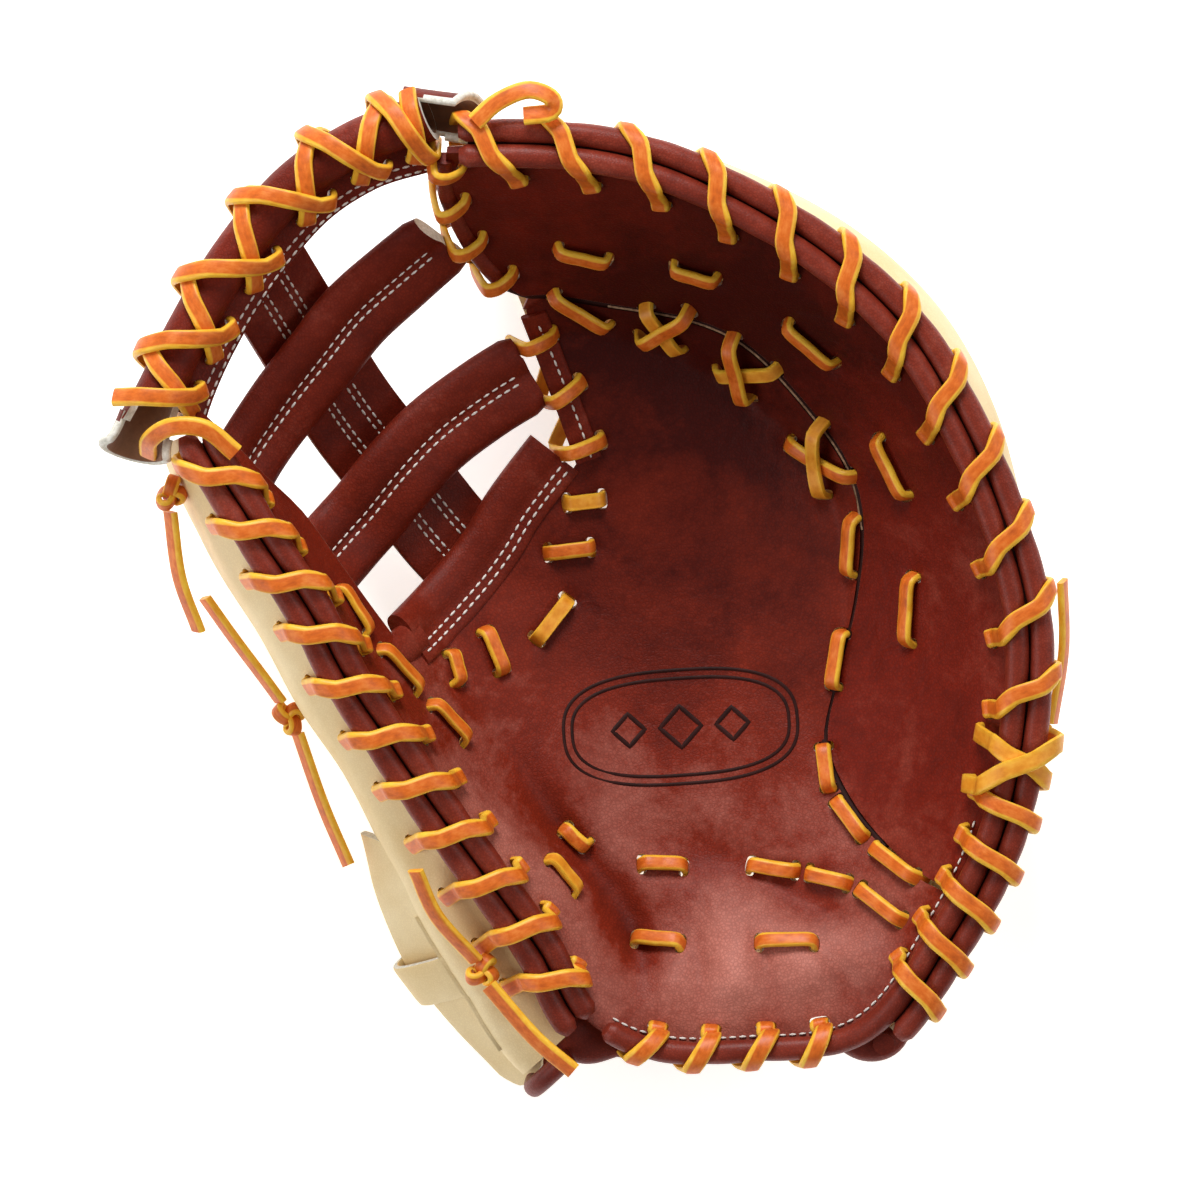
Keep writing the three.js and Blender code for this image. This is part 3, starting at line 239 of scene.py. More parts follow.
# Centre lines of the web's pieces. sink is how far each lies below the bowl's surface, as a share
# of WEB_BAR_THICKNESS.
UPPER_BAR = table(
    "x y sink",
    (-35.8, 9.4, 1.75),
    (-35.2, 12.4, 1.35),
    (-33.0, 17.6, 0.5),
    (-29.2, 23.2, 0),
    (-25.9, 27.1, 0),
    (-21.3, 31.0, 0),
    (-16.8, 34.6, 0),
)
LOWER_BAR = table(
    "x y sink",
    (-29.0, -0.8, 1.9),
    (-27.5, 2.6, 1.35),
    (-24.5, 6.9, 0.5),
    (-21.4, 11.2, 0),
    (-17.3, 15.2, 0),
    (-12.2, 18.8, 0),
    (-7.6, 21.5, 0),
)
BASE_BAR = table(
    "x y sink",
    (-20.6, -5.0, 0.15),
    (-16.8, -1.2, 0.15),
    (-12.6, 3.6, 0.15),
    (-9.5, 8.4, 0.15),
    (-5.3, 13.6, 0.15),
)
POST = table(
    "x y sink",
    (-35.2, 31.5, 1.0),
    (-34.4, 30.3, 1.0),
    (-29.8, 23.2, 1.0),
    (-25.0, 16.2, 1.35),
    (-20.2, 10.4, 1.35),
    (-16.0, 5.3, 1.2),
    (-12.4, 1.6, 1.1),
)
TOP_BAR = table(
    "x y up flare",
    (-17.4, 45.4, 0.94, 1.2),
    (-19.4, 44.7, 0.93, 1.05),
    (-25.3, 42.7, 0.92, 1),
    (-31.6, 38.7, 0.9, 1),
    (-37.6, 31.9, 0.89, 1),
    (-42.2, 24.6, 0.89, 1),
    (-45.1, 18.6, 0.9, 1.05),
    (-46.4, 15.2, 0.9, 1.25),
)

FINGERS = (112, -57)
THUMB = (158, 261)
HEEL_END = -96

# Knots, as a place, a share of RIM_HEIGHT, and a turn and a tip in degrees.
KNOTS = {
    "right_knot": (47.4, -15.8, 0.673, 75, 20),
    "left_knot": (-45.3, 9.1, 0.793, 60, 30),
    "thumb_side_knot": (-33.0, -13.3, 0.5, 120, 0),
    "wrist_knot": (-12.4, -38.8, 0.6, 40, 10),
}


def place(x, y):
    """A place in percent, in millimetres from the mitt's middle."""
    return Vector((x / 100 * MITT_WIDTH, y / 100 * MITT_LENGTH))


def origin_of_the_part():
    """How far the part's own origin lies from the mitt's middle, read from where a knot lies."""
    low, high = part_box("right_knot")
    middle = (low + high) / 2 / MM
    x, y = KNOTS["right_knot"][:2]
    at = place(x, y)
    return Vector((middle.x - at.x, middle.y - at.y, 0))


SHIFT = origin_of_the_part()


def curve(rows, column, by="bearing", period=0):
    """A smooth curve through one column of a table. A period joins the last row to the first."""
    places = [getattr(row, by) for row in rows]
    values = [getattr(row, column) for row in rows]
    first = places[0]
    if period:
        places = [places[-1] - period, *places, places[0] + period, places[1] + period]
        values = [values[-1], *values, values[0], values[1]]
    last = len(places) - 1
    slopes = []
    for i in range(last + 1):
        before, after = max(i - 1, 0), min(i + 1, last)
        slopes.append((values[after] - values[before]) / (places[after] - places[before]))

    @lru_cache(maxsize=None)
    def at(x):
        if period:
            x = first + (x - first) % period
        x = min(max(x, places[0]), places[-1])
        i = min(max(bisect_right(places, x) - 1, 0), last - 1)
        width = places[i + 1] - places[i]
        t = (x - places[i]) / width
        square, cube = t * t, t * t * t
        return (
            (2 * cube - 3 * square + 1) * values[i]
            + (cube - 2 * square + t) * width * slopes[i]
            + (3 * square - 2 * cube) * values[i + 1]
            + (cube - square) * width * slopes[i + 1]
        )

    return at


RIM_CURVES = {column: curve(RIM, column, period=360) for column in RIM[0]._fields}
BACK_CURVES = {column: curve(BACK, column, by="t") for column in BACK[0]._fields}
back_lift = curve(BACK_LIFT, "lift")


def along_table(rows, column):
    """A smooth curve through a column, over the share of the way from the first row to the last."""
    shares = ((i / (len(rows) - 1), getattr(row, column)) for i, row in enumerate(rows))
    return curve(table("t value", *shares), "value", by="t")


def blend(a, b, t):
    """Value a share of the way from one to another."""
    return a + (b - a) * t


def rim_point(bearing):
    """Point of the line between the two welts."""
    reach = RIM_CURVES["reach"](bearing)
    turn = math.radians(bearing)
    at = place(POCKET[0] + reach * math.cos(turn), POCKET[1] + reach * math.sin(turn))
    return Vector((at.x, at.y, RIM_HEIGHT * RIM_CURVES["up"](bearing)))


@lru_cache(maxsize=None)
def rim_frame(bearing):
    """Point of the rim, the way along it anticlockwise, and level outwards."""
    along = (rim_point(bearing + 0.5) - rim_point(bearing - 0.5)).normalized()
    return rim_point(bearing), along, Vector((along.y, -along.x, 0)).normalized()


def form_at(x, y):
    """Height of the pads and folds at a place in percent."""
    height = 0
    for form in FORMS + FOLDS:
        turn = math.radians(form.turn)
        dx, dy = x - form.x, y - form.y
        a = (dx * math.cos(turn) + dy * math.sin(turn)) / form.across
        b = (dy * math.cos(turn) - dx * math.sin(turn)) / form.along
        if a * a + b * b < 9:
            height += form.rise * LEATHER * math.exp(-a * a - b * b)
    return height


def rise(bearing, share):
    """Share of the height from the pocket to the rim, at a share of the reach."""
    knee, knee_up = RIM_CURVES["knee"](bearing), RIM_CURVES["knee_up"](bearing)
    if share < knee:
        return knee_up * (share / knee) ** 2
    smooth = 2 * knee_up / knee * (1 - knee) / (1 - knee_up)
    start = blend(smooth, 0.85, RIM_CURVES["crease"](bearing))
    t = (share - knee) / (1 - knee)
    return knee_up + (1 - knee_up) * (start * t + (1 - start) * t * t)


@lru_cache(maxsize=None)
def leather_edge(bearing):
    """Where the palm leather ends, just under the inner welt."""
    point, _, out = rim_frame(bearing)
    return point - out * (LEATHER + GAP)


def bowl(bearing, share):
    """Upper face of the bowl. Share 1 is the leather's edge."""
    edge = leather_edge(bearing)
    middle = place(*POCKET)
    x, y = blend(middle.x, edge.x, share), blend(middle.y, edge.y, share)
    top = edge.z - WELT_DIAMETER / 2 - 2 * GAP
    fade = min(1, max(0, (1 - share) / 0.15))
    form = form_at(x / MITT_WIDTH * 100, y / MITT_LENGTH * 100) * fade
    return Vector((x, y, POCKET_HEIGHT + (top - POCKET_HEIGHT) * rise(bearing, share) + form))


def normal_of(surface, u, v, step_u, step_v):
    """Normal of a surface, from points a step away either side."""
    across = surface(u + step_u, v) - surface(u - step_u, v)
    return across.cross(surface(u, v + step_v) - surface(u, v - step_v)).normalized()


def bowl_normal(bearing, share):
    """Normal of the bowl, upwards. At the very middle all bearings meet, so it is taken beside it."""
    normal = normal_of(bowl, bearing, max(share, 0.05), 1, -0.02)
    return -normal if normal.z < 0 else normal


def polar(at):
    """Bearing and share of the bowl over a place in millimetres."""
    middle = place(*POCKET)
    dx, dy = at.x - middle.x, at.y - middle.y
    bearing = math.degrees(math.atan2(dy / MITT_LENGTH, dx / MITT_WIDTH))
    edge = leather_edge(bearing)
    return bearing, math.hypot(dx, dy) / math.hypot(edge.x - middle.x, edge.y - middle.y)


def on_bowl(x, y):
    """Point of the bowl over a place in percent, and its normal."""
    at = place(x, y)
    bearing, share = polar(at)
    return Vector((at.x, at.y, bowl(bearing, share).z)), bowl_normal(bearing, share)


def back_face(bearing, t):
    """Outer face of the back leather, t of the way from the welts to its inner edge."""
    point, _, out = rim_frame(bearing)
    middle = place(*POCKET)
    share = BACK_CURVES["out"](t)
    stand = BACK_CURVES["bulge"](t) * RIM_CURVES["bulge"](bearing) / 100 * MITT_WIDTH
    top = point.z - WELT_DIAMETER / 2 - 2 * GAP
    edge = point + out * (LEATHER + GAP)
    bottom = back_lift(bearing) * RIM_HEIGHT
    return Vector((
        blend(middle.x, edge.x, share) + out.x * stand,
        blend(middle.y, edge.y, share) + out.y * stand,
        blend(bottom, top, max(0, BACK_CURVES["up"](t))),
    ))


def back_normal(bearing, t):
    """Normal of the back leather, away from the hand."""
    normal = normal_of(back_face, bearing, t, 1, 0.01)
    return -normal if normal.dot(rim_frame(bearing)[2]) < 0 else normal


def smooth_line(points, steps, closed=False, ease=0.5):
    """Points of a smooth curve through a few points. A lower ease turns tighter corners."""
    count = len(points)
    found = []
    for i in range(count if closed else count - 1):
        if closed:
            a, b, c, d = (points[(i + k) % count] for k in (-1, 0, 1, 2))
        else:
            a, b, c, d = (points[min(max(i + k, 0), count - 1)] for k in (-1, 0, 1, 2))
        for k in range(steps):
            t = k / steps
            square, cube = t * t, t * t * t
            found.append(
                b * (2 * cube - 3 * square + 1)
                + (c - a) * (ease * (cube - 2 * square + t))
                + c * (3 * square - 2 * cube)
                + (d - b) * (ease * (cube - square))
            )
    if not closed:
        found.append(points[-1].copy())
    return found


def line_in_air(rows, steps):
    """Points of a smooth line through places in percent and a share of RIM_HEIGHT."""
    x, y, up = (along_table(rows, column) for column in ("x", "y", "up"))
    points = []
    for i in range(steps + 1):
        at = place(x(i / steps), y(i / steps))
        points.append(Vector((at.x, at.y, up(i / steps) * RIM_HEIGHT)))
    return points


# Making meshes

def fresh_mesh():
    """An empty bmesh with the layers that the materials read."""
    bm = bmesh.new()
    bm.loops.layers.uv.new("UVMap")
    bm.verts.layers.float.new("edge")
    bm.verts.layers.float.new("tone")
    return bm


def sheet_of(bm, columns, rows, surface):
    """Adds a grid laid over a surface that is given by two shares from 0 to 1."""
    made = bmesh.ops.create_grid(bm, x_segments=columns, y_segments=rows, size=0.5, calc_uvs=True)
    for vertex in made["verts"]:
        vertex.co = surface(vertex.co.x + 0.5, vertex.co.y + 0.5)
    return made["verts"]


def face_outwards(bm, near, outwards):
    """Turns an open sheet over if its face nearest a place looks away from a direction."""
    bm.normal_update()
    nearest = min(bm.faces, key=lambda face: (face.calc_center_median() - near).length)
    if nearest.normal.dot(outwards) < 0:
        bmesh.ops.reverse_faces(bm, faces=bm.faces)


def tube_of(bm, stations, section, shades=None):
    """Adds a closed tube: a section swept along stations of a point, a side, an up and a scale.

    Its UV map has the place round the section across, and millimetres along."""
    sides, last = len(section), len(stations) - 1
    length = sum((b[0] - a[0]).length for a, b in zip(stations, stations[1:]))
    made = bmesh.ops.create_grid(bm, x_segments=sides, y_segments=last, size=0.5, calc_uvs=True)
    verts = made["verts"]
    uv = bm.loops.layers.uv["UVMap"]
    edge = bm.verts.layers.float["edge"]
    for face in {face for vertex in verts for face in vertex.link_faces}:
        for loop in face.loops:
            loop[uv].uv.y *= length
    for vertex in verts:
        i = round((vertex.co.x + 0.5) * sides) % sides
        point, side, up, scale = stations[round((vertex.co.y + 0.5) * last)]
        across, above = section[i]
        vertex.co = point + side * (across * scale) + up * (above * scale)
        if shades:
            vertex[edge] = shades[i]
    bmesh.ops.remove_doubles(bm, verts=verts, dist=1e-4)
    verts = [vertex for vertex in verts if vertex.is_valid]
    rims = {e for vertex in verts for e in vertex.link_edges if e.is_boundary}
    bmesh.ops.holes_fill(bm, edges=list(rims), sides=0)
    return verts


def stations_of(points, ups, scales=None):
    """Stations square to a line through points."""
    last = len(points) - 1
    stations = []
    for i, point in enumerate(points):
        along = (points[min(i + 1, last)] - points[max(i - 1, 0)]).normalized()
        side = along.cross(ups[i]).normalized()
        stations.append((point, side, side.cross(along).normalized(), scales[i] if scales else 1))
    return stations


def finer(stations, steps, ease=0.36):
    """More stations on a smooth line through the same points."""
    points = smooth_line([station[0] for station in stations], steps, ease=ease)
    made = []
    for k, point in enumerate(points):
        i = min(k // steps, len(stations) - 2)
        t = k / steps - i
        a, b = stations[i], stations[i + 1]
        along = (points[min(k + 1, len(points) - 1)] - points[max(k - 1, 0)]).normalized()
        side = a[1].lerp(b[1], t)
        side = (side - along * side.dot(along)).normalized()
        made.append((point, side, side.cross(along).normalized(), blend(a[3], b[3], t)))
    return made


def oval(width, thickness, sides, power=2):
    """A section. A power above 2 squares the oval up."""
    section = []
    for i in range(sides):
        turn = (i + 0.5) / sides * 2 * math.pi
        c, s = math.cos(turn), math.sin(turn)
        across = math.copysign(abs(c) ** (2 / power), c) * width / 2
        section.append((across, math.copysign(abs(s) ** (2 / power), s) * thickness / 2))
    return section


def rounded_section(rows, width=1, thickness=1):
    """A closed section, smoothed through the rows of a table."""
    corners = [Vector((row.across * width, row.above * thickness, 0)) for row in rows]
    return [(at.x, at.y) for at in smooth_line(corners, 2, True)]


def to_metres(bm):
    """Takes a mesh from millimetres from the mitt's middle to metres from the part's origin."""
    for vertex in bm.verts:
        vertex.co = (vertex.co + SHIFT) * MM


def new_object(name, bm):
    """An object at the origin that takes over a bmesh."""
    mesh = bpy.data.meshes.new(name)
    bm.to_mesh(mesh)
    bm.free()
    made = bpy.data.objects.new(name, mesh)
    bpy.context.scene.collection.objects.link(made)
    return made


def piece(name, bm, materials, replaces=(), sharp=SHARP, outwards=True):
    """Turns a bmesh in millimetres into a piece that rides on the mitt and stands on the floor."""
    if outwards:
        bmesh.ops.recalc_face_normals(bm, faces=bm.faces)
    to_metres(bm)
    for vertex in bm.verts:
        vertex.co.z = max(vertex.co.z, 0)
    made = new_object(name, bm)
    for material in materials:
        made.data.materials.append(material)
    made.data.shade_smooth()
    made.data.set_sharp_from_angle(angle=math.radians(sharp))
    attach(made, "root")
    if replaces:
        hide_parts(*replaces)
    return made


def swept_piece(name, points, ups, section, materials, replaces=(), scales=None):
    """A piece that has one section all along a line."""
    bm = fresh_mesh()
    tube_of(bm, stations_of(points, ups, scales), section)
    return piece(name, bm, materials, replaces)


def is_end(face):
    """Whether a face is the flat end of a swept piece: it has far more corners than the others."""
    return len(face.vertices) > 8


def raw_faces(made, is_raw):
    """Gives a piece's second material to the faces where its leather was cut."""
    for face in made.data.polygons:
        if is_raw(face):
            face.material_index = 1


def apply_modifiers(made):
    """Keeps the mesh that the modifiers make, and drops them."""
    bpy.context.view_layer.update()
    seen = made.evaluated_get(bpy.context.evaluated_depsgraph_get())
    mesh = bpy.data.meshes.new_from_object(seen)
    old = made.data
    made.modifiers.clear()
    made.data = mesh
    bpy.data.meshes.remove(old)


def scratch_object(name, bm):
    """A helper solid that other pieces are cut with, and that is removed again."""
    bmesh.ops.recalc_face_normals(bm, faces=bm.faces)
    to_metres(bm)
    return new_object(name, bm)


def cut(made, operation, helper):
    """Joins a helper solid to a piece, takes it away, or keeps what both have."""
    change = made.modifiers.new("cut", "BOOLEAN")
    change.operation = operation
    change.object = helper
    change.solver = "MANIFOLD"
    apply_modifiers(made)
    made.data.set_sharp_from_angle(angle=math.radians(SHARP))


def column_over(name, outline):
    """A tall straight column over an outline in millimetres."""
    bm = bmesh.new()
    verts = [bm.verts.new((at.x, at.y, -RIM_HEIGHT / 2)) for at in outline]
    bottom = [bm.faces.new(verts)]
    made = bmesh.ops.extrude_face_region(bm, geom=bottom)["geom"]
    top = [item for item in made if isinstance(item, bmesh.types.BMVert)]
    bmesh.ops.translate(bm, verts=top, vec=(0, 0, 2 * RIM_HEIGHT))
    return scratch_object(name, bm)


def places(rows):
    """The places of a table's rows, in millimetres."""
    return [place(row.x, row.y) for row in rows]


# Materials

def linear(hex_colour):
    """An sRGB hex colour as linear values."""
    channels = [int(hex_colour[i:i + 2], 16) / 255 for i in (0, 2, 4)]
    bent = [c / 12.92 if c <= 0.04045 else ((c + 0.055) / 1.055) ** 2.4 for c in channels]
    return (*bent, 1)


def per_metre(size_mm):
    """Scale of a pattern whose parts are this many millimetres wide, on coordinates in metres."""
    return 1 / (size_mm * MM)


def add_node(tree, kind, inputs=None, stops=(), **settings):
    """Adds a node. inputs maps a socket to a value, a hex colour or another node's output, and
    stops are the places and hex colours of a ramp."""
    node = tree.nodes.new("ShaderNode" + kind)
    for name, setting in settings.items():
        setattr(node, name, setting)
    for socket, given in (inputs or {}).items():
        if isinstance(given, bpy.types.NodeSocket):
            tree.links.new(given, node.inputs[socket])
        else:
            node.inputs[socket].default_value = linear(given) if isinstance(given, str) else given
    for _ in stops[2:]:
        node.color_ramp.elements.new(0.5)
    for i, (at, hex_colour) in enumerate(stops):
        node.color_ramp.elements[i].position = at
        node.color_ramp.elements[i].color = linear(hex_colour)
    return node


def new_material(name):
    """A material and its empty node tree."""
    material = bpy.data.materials.new(name)
    material.use_nodes = True
    material.node_tree.nodes.clear()
    return material, material.node_tree


def grain_height(tree, where, cell_mm):
    """Leather grain: rounded pebbles with fine creases between them."""
    warp = add_node(tree, "TexNoise", {"Vector": where, "Scale": per_metre(2.2 * cell_mm), "Detail": 2})
    push = add_node(
        tree,
        "VectorMath",
        {0: warp.outputs["Color"], "Scale": 0.8 * cell_mm * MM},
        operation="SCALE",
    )
    moved = add_node(tree, "VectorMath", {0: where, 1: push.outputs["Vector"]}, operation="ADD")
    cells = add_node(
        tree,
        "TexVoronoi",
        {"Vector": moved.outputs["Vector"], "Scale": per_metre(cell_mm)},
        feature="DISTANCE_TO_EDGE",
    )
    steep = add_node(tree, "Math", {0: cells.outputs["Distance"], 1: 4.0}, operation="MULTIPLY")
    return add_node(tree, "Math", {0: steep.outputs[0], 1: 1.0}, operation="MINIMUM").outputs[0]


def oiled_leather(name, dark, middle, light, grain_mm=1.1, roughness=(0.42, 0.58), coat=0.02):
    """Oil tanned steerhide, drum dyed and waxed: deep in colour, paler where a pad stretches it,
    with fine wrinkles and a waxy glow. Its tone attribute also paints light and shade into the colour,
    and the creases of its grain are darkened as painted shade. Its pebbles are drawn about twice as wide
    as real ones, which wouldn't show."""
    material, tree = new_material(name)
    where = add_node(tree, "TexCoord").outputs["Object"]
    blotches = add_node(
        tree,
        "TexNoise",
        {"Vector": where, "Scale": per_metre(26), "Detail": 5, "Roughness": 0.6, "Distortion": 0.4},
    )
    mottle = add_node(
        tree,
        "TexNoise",
        {"Vector": where, "Scale": per_metre(3.5), "Detail": 6, "Roughness": 0.7},
    )
    # The tone attribute holds painted light and shade, and the pull-up of stretched pads.
    painted_light_and_stretch = add_node(tree, "Attribute", attribute_name="tone")
    broad = add_node(tree, "Math", {0: blotches.outputs["Fac"], 1: 0.55}, operation="MULTIPLY")
    toned = add_node(
        tree, "Math", {0: broad.outputs[0], 1: painted_light_and_stretch.outputs["Fac"]}, operation="ADD"
    )
    fine = add_node(tree, "Math", {0: mottle.outputs["Fac"], 1: 0.22}, operation="MULTIPLY")
    amount = add_node(tree, "Math", {0: toned.outputs[0], 1: fine.outputs[0]}, operation="ADD")
    dyed = add_node(
        tree, "ValToRGB", {"Fac": amount.outputs[0]}, [(0.14, dark), (0.42, middle), (0.78, light)]
    )
    grain = grain_height(tree, where, grain_mm)
    # The creases between the pebbles are darkened in colour: painted shade.
    creases = add_node(tree, "MapRange", {"Value": grain, "To Min": 0.28, "To Max": 0.0})
    colour = add_node(
        tree,
        "Mix",
        {"Factor": creases.outputs["Result"], 6: dyed.outputs["Color"], 7: dark},
        data_type="RGBA",
        blend_type="MULTIPLY",
    )
    glow = add_node(
        tree,
        "MapRange",
        {"Value": mottle.outputs["Fac"], "To Min": roughness[0], "To Max": roughness[1]},
    )
    wrinkles = add_node(
        tree,
        "TexNoise",
        {"Vector": where, "Scale": per_metre(7), "Detail": 5, "Roughness": 0.62, "Distortion": 0.8},
    )
    wrinkled = add_node(
        tree, "Bump", {"Height": wrinkles.outputs["Fac"], "Distance": 0.8 * MM, "Strength": 0.5}
    )
    pebbled = add_node(
        tree,
        "Bump",
        {
            "Height": grain,
            "Distance": 0.09 * MM,
            "Strength": 0.55,
            "Normal": wrinkled.outputs["Normal"],
        },
    )
    shader = add_node(
        tree,
        "BsdfPrincipled",
        {
            "Base Color": colour.outputs[2],
            "Roughness": glow.outputs["Result"],
            "Normal": pebbled.outputs["Normal"],
            "IOR": 1.5,
            "Specular IOR Level": 0.16,
            "Coat Weight": coat,
            "Coat Roughness": 0.4,
        },
    )
    add_node(tree, "OutputMaterial", {"Surface": shader.outputs["BSDF"]})
    return material


def blonde_leather(name, tint="f6dfae", shade="e7c98e"):
    """Vegetable tanned leather, left undyed: pale and smooth, with faint clouds and pores. The
    pores are drawn wider than real ones, which wouldn't show."""
    material, tree = new_material(name)
    where = add_node(tree, "TexCoord").outputs["Object"]
    clouds = add_node(
        tree,
        "TexNoise",
        {"Vector": where, "Scale": per_metre(30), "Detail": 5, "Roughness": 0.55, "Distortion": 0.3},
    )
    pores = grain_height(tree, where, 0.9)
    clouded = add_node(tree, "ValToRGB", {"Fac": clouds.outputs["Fac"]}, [(0.3, shade), (0.62, tint)])
    # The pores are darkened in colour: painted shade in their hollows.
    creases = add_node(tree, "MapRange", {"Value": pores, "To Min": 0.12, "To Max": 0.0})
    colour = add_node(
        tree,
        "Mix",
        {"Factor": creases.outputs["Result"], 6: clouded.outputs["Color"], 7: "b48f58"},
        data_type="RGBA",
        blend_type="MULTIPLY",
    )
    sheen = add_node(
        tree, "MapRange", {"Value": clouds.outputs["Fac"], "To Min": 0.5, "To Max": 0.64}
    )
    ripples = add_node(
        tree,
        "TexNoise",
        {"Vector": where, "Scale": per_metre(8), "Detail": 4, "Roughness": 0.55, "Distortion": 0.6},
    )
    rippled = add_node(
        tree, "Bump", {"Height": ripples.outputs["Fac"], "Distance": 0.5 * MM, "Strength": 0.3}
    )
    pored = add_node(
        tree,
        "Bump",
        {"Height": pores, "Distance": 0.06 * MM, "Strength": 0.5, "Normal": rippled.outputs["Normal"]},
    )
    shader = add_node(
        tree,
        "BsdfPrincipled",
        {
            "Base Color": colour.outputs[2],
            "Roughness": sheen.outputs["Result"],
            "Normal": pored.outputs["Normal"],
            "IOR": 1.48,
            "Coat Weight": 0.05,
            "Coat Roughness": 0.5,
        },
    )
    add_node(tree, "OutputMaterial", {"Surface": shader.outputs["BSDF"]})
    return material


def rawhide_lace(name):
    """Waxed rawhide cut into strips: orange on its grain face, yellow where it was cut and on its
    flesh side, with streaks that run along it and a dull wax shine.

    The streaks read the UV map, which has millimetres along the lace. The fibres are drawn
    coarser than real ones, which wouldn't show."""
    material, tree = new_material(name)
    where = add_node(tree, "TexCoord").outputs["Object"]
    along = add_node(tree, "UVMap", uv_map="UVMap").outputs["UV"]
    drawn_out = add_node(tree, "VectorMath", {0: along, 1: (14, 0.35, 1)}, operation="MULTIPLY")
    streaks = add_node(
        tree,
        "TexNoise",
        {"Vector": drawn_out.outputs["Vector"], "Scale": 1, "Detail": 4, "Roughness": 0.6},
    )
    clouds = add_node(
        tree,
        "TexNoise",
        {"Vector": where, "Scale": per_metre(5), "Detail": 5, "Roughness": 0.6},
    )
    half = add_node(tree, "Math", {0: streaks.outputs["Fac"], 1: 0.5}, operation="MULTIPLY")
    other_half = add_node(tree, "Math", {0: clouds.outputs["Fac"], 1: 0.5}, operation="MULTIPLY")
    amount = add_node(tree, "Math", {0: half.outputs[0], 1: other_half.outputs[0]}, operation="ADD")
    face = add_node(
        tree,
        "ValToRGB",
        {"Fac": amount.outputs[0]},
        [(0.28, "b04a0a"), (0.5, "dd6a16"), (0.7, "ee8a38")],
    )
    sides = add_node(
        tree, "ValToRGB", {"Fac": amount.outputs[0]}, [(0.34, "f0a21a"), (0.62, "ffd040")]
    )
    cut_side = add_node(tree, "Attribute", attribute_name="edge")
    colour = add_node(
        tree,
        "Mix",
        {"Factor": cut_side.outputs["Fac"], 6: face.outputs["Color"], 7: sides.outputs["Color"]},
        data_type="RGBA",
    )
    wax = add_node(tree, "MapRange", {"Value": amount.outputs[0], "To Min": 0.36, "To Max": 0.6})
    fibres = add_node(
        tree,
        "TexNoise",
        {"Vector": where, "Scale": per_metre(0.9), "Detail": 4, "Roughness": 0.55},
    )
    streaked = add_node(
        tree, "Bump", {"Height": streaks.outputs["Fac"], "Distance": 0.16 * MM, "Strength": 0.6}
    )
    fibrous = add_node(
        tree,
        "Bump",
        {
            "Height": fibres.outputs["Fac"],
            "Distance": 0.08 * MM,
            "Strength": 0.5,
            "Normal": streaked.outputs["Normal"],
        },
    )
    shader = add_node(
        tree,
        "BsdfPrincipled",
        {
            "Base Color": colour.outputs[2],
            "Roughness": wax.outputs["Result"],
            "Normal": fibrous.outputs["Normal"],
            "IOR": 1.5,
            "Specular IOR Level": 0.4,
            "Coat Weight": 0.12,
            "Coat Roughness": 0.32,
        },
    )
    add_node(tree, "OutputMaterial", {"Surface": shader.outputs["BSDF"]})
    return material


def cut_edge(name, tint, shade):
    """Leather where a knife or punch cut it through: pale, dry fibres with no shine. They are
    drawn coarser than real ones, which wouldn't show."""
    material, tree = new_material(name)
    where = add_node(tree, "TexCoord").outputs["Object"]
    fibres = add_node(
        tree,
        "TexNoise",
        {"Vector": where, "Scale": per_metre(1.2), "Detail": 5, "Roughness": 0.7},
    )
    colour = add_node(tree, "ValToRGB", {"Fac": fibres.outputs["Fac"]}, [(0.35, shade), (0.65, tint)])
    ragged = add_node(
        tree, "Bump", {"Height": fibres.outputs["Fac"], "Distance": 0.15 * MM, "Strength": 0.6}
    )
    shader = add_node(
        tree,
        "BsdfPrincipled",
        {
            "Base Color": colour.outputs["Color"],
            "Normal": ragged.outputs["Normal"],
            "IOR": 1.45,
            "Roughness": 0.8,
        },
    )
    add_node(tree, "OutputMaterial", {"Surface": shader.outputs["BSDF"]})
    return material


def suede(name, tint, shade):
    """The flesh side of leather, buffed: a short matt nap that takes the light at its edges. Its
    tufts are drawn coarser than real ones, which wouldn't show."""
    material, tree = new_material(name)
    where = add_node(tree, "TexCoord").outputs["Object"]
    nap = add_node(
        tree,
        "TexNoise",
        {"Vector": where, "Scale": per_metre(1.6), "Detail": 8, "Roughness": 0.75},
    )
    clouds = add_node(
        tree,
        "TexNoise",
        {"Vector": where, "Scale": per_metre(12), "Detail": 3, "Roughness": 0.55},
    )
    brushed = add_node(tree, "ValToRGB", {"Fac": nap.outputs["Fac"]}, [(0.3, shade), (0.7, tint)])
    colour = add_node(
        tree,
        "Mix",
        {"Factor": clouds.outputs["Fac"], 6: brushed.outputs["Color"], 7: tint},
        data_type="RGBA",
    )
    napped = add_node(
        tree, "Bump", {"Height": nap.outputs["Fac"], "Distance": 0.25 * MM, "Strength": 0.7}
    )
    shader = add_node(
        tree,
        "BsdfPrincipled",
        {
            "Base Color": colour.outputs[2],
            "Normal": napped.outputs["Normal"],
            "IOR": 1.4,
            "Roughness": 0.92,
            "Sheen Weight": 0.35,
            "Sheen Roughness": 0.5,
        },
    )
    add_node(tree, "OutputMaterial", {"Surface": shader.outputs["BSDF"]})
    return material


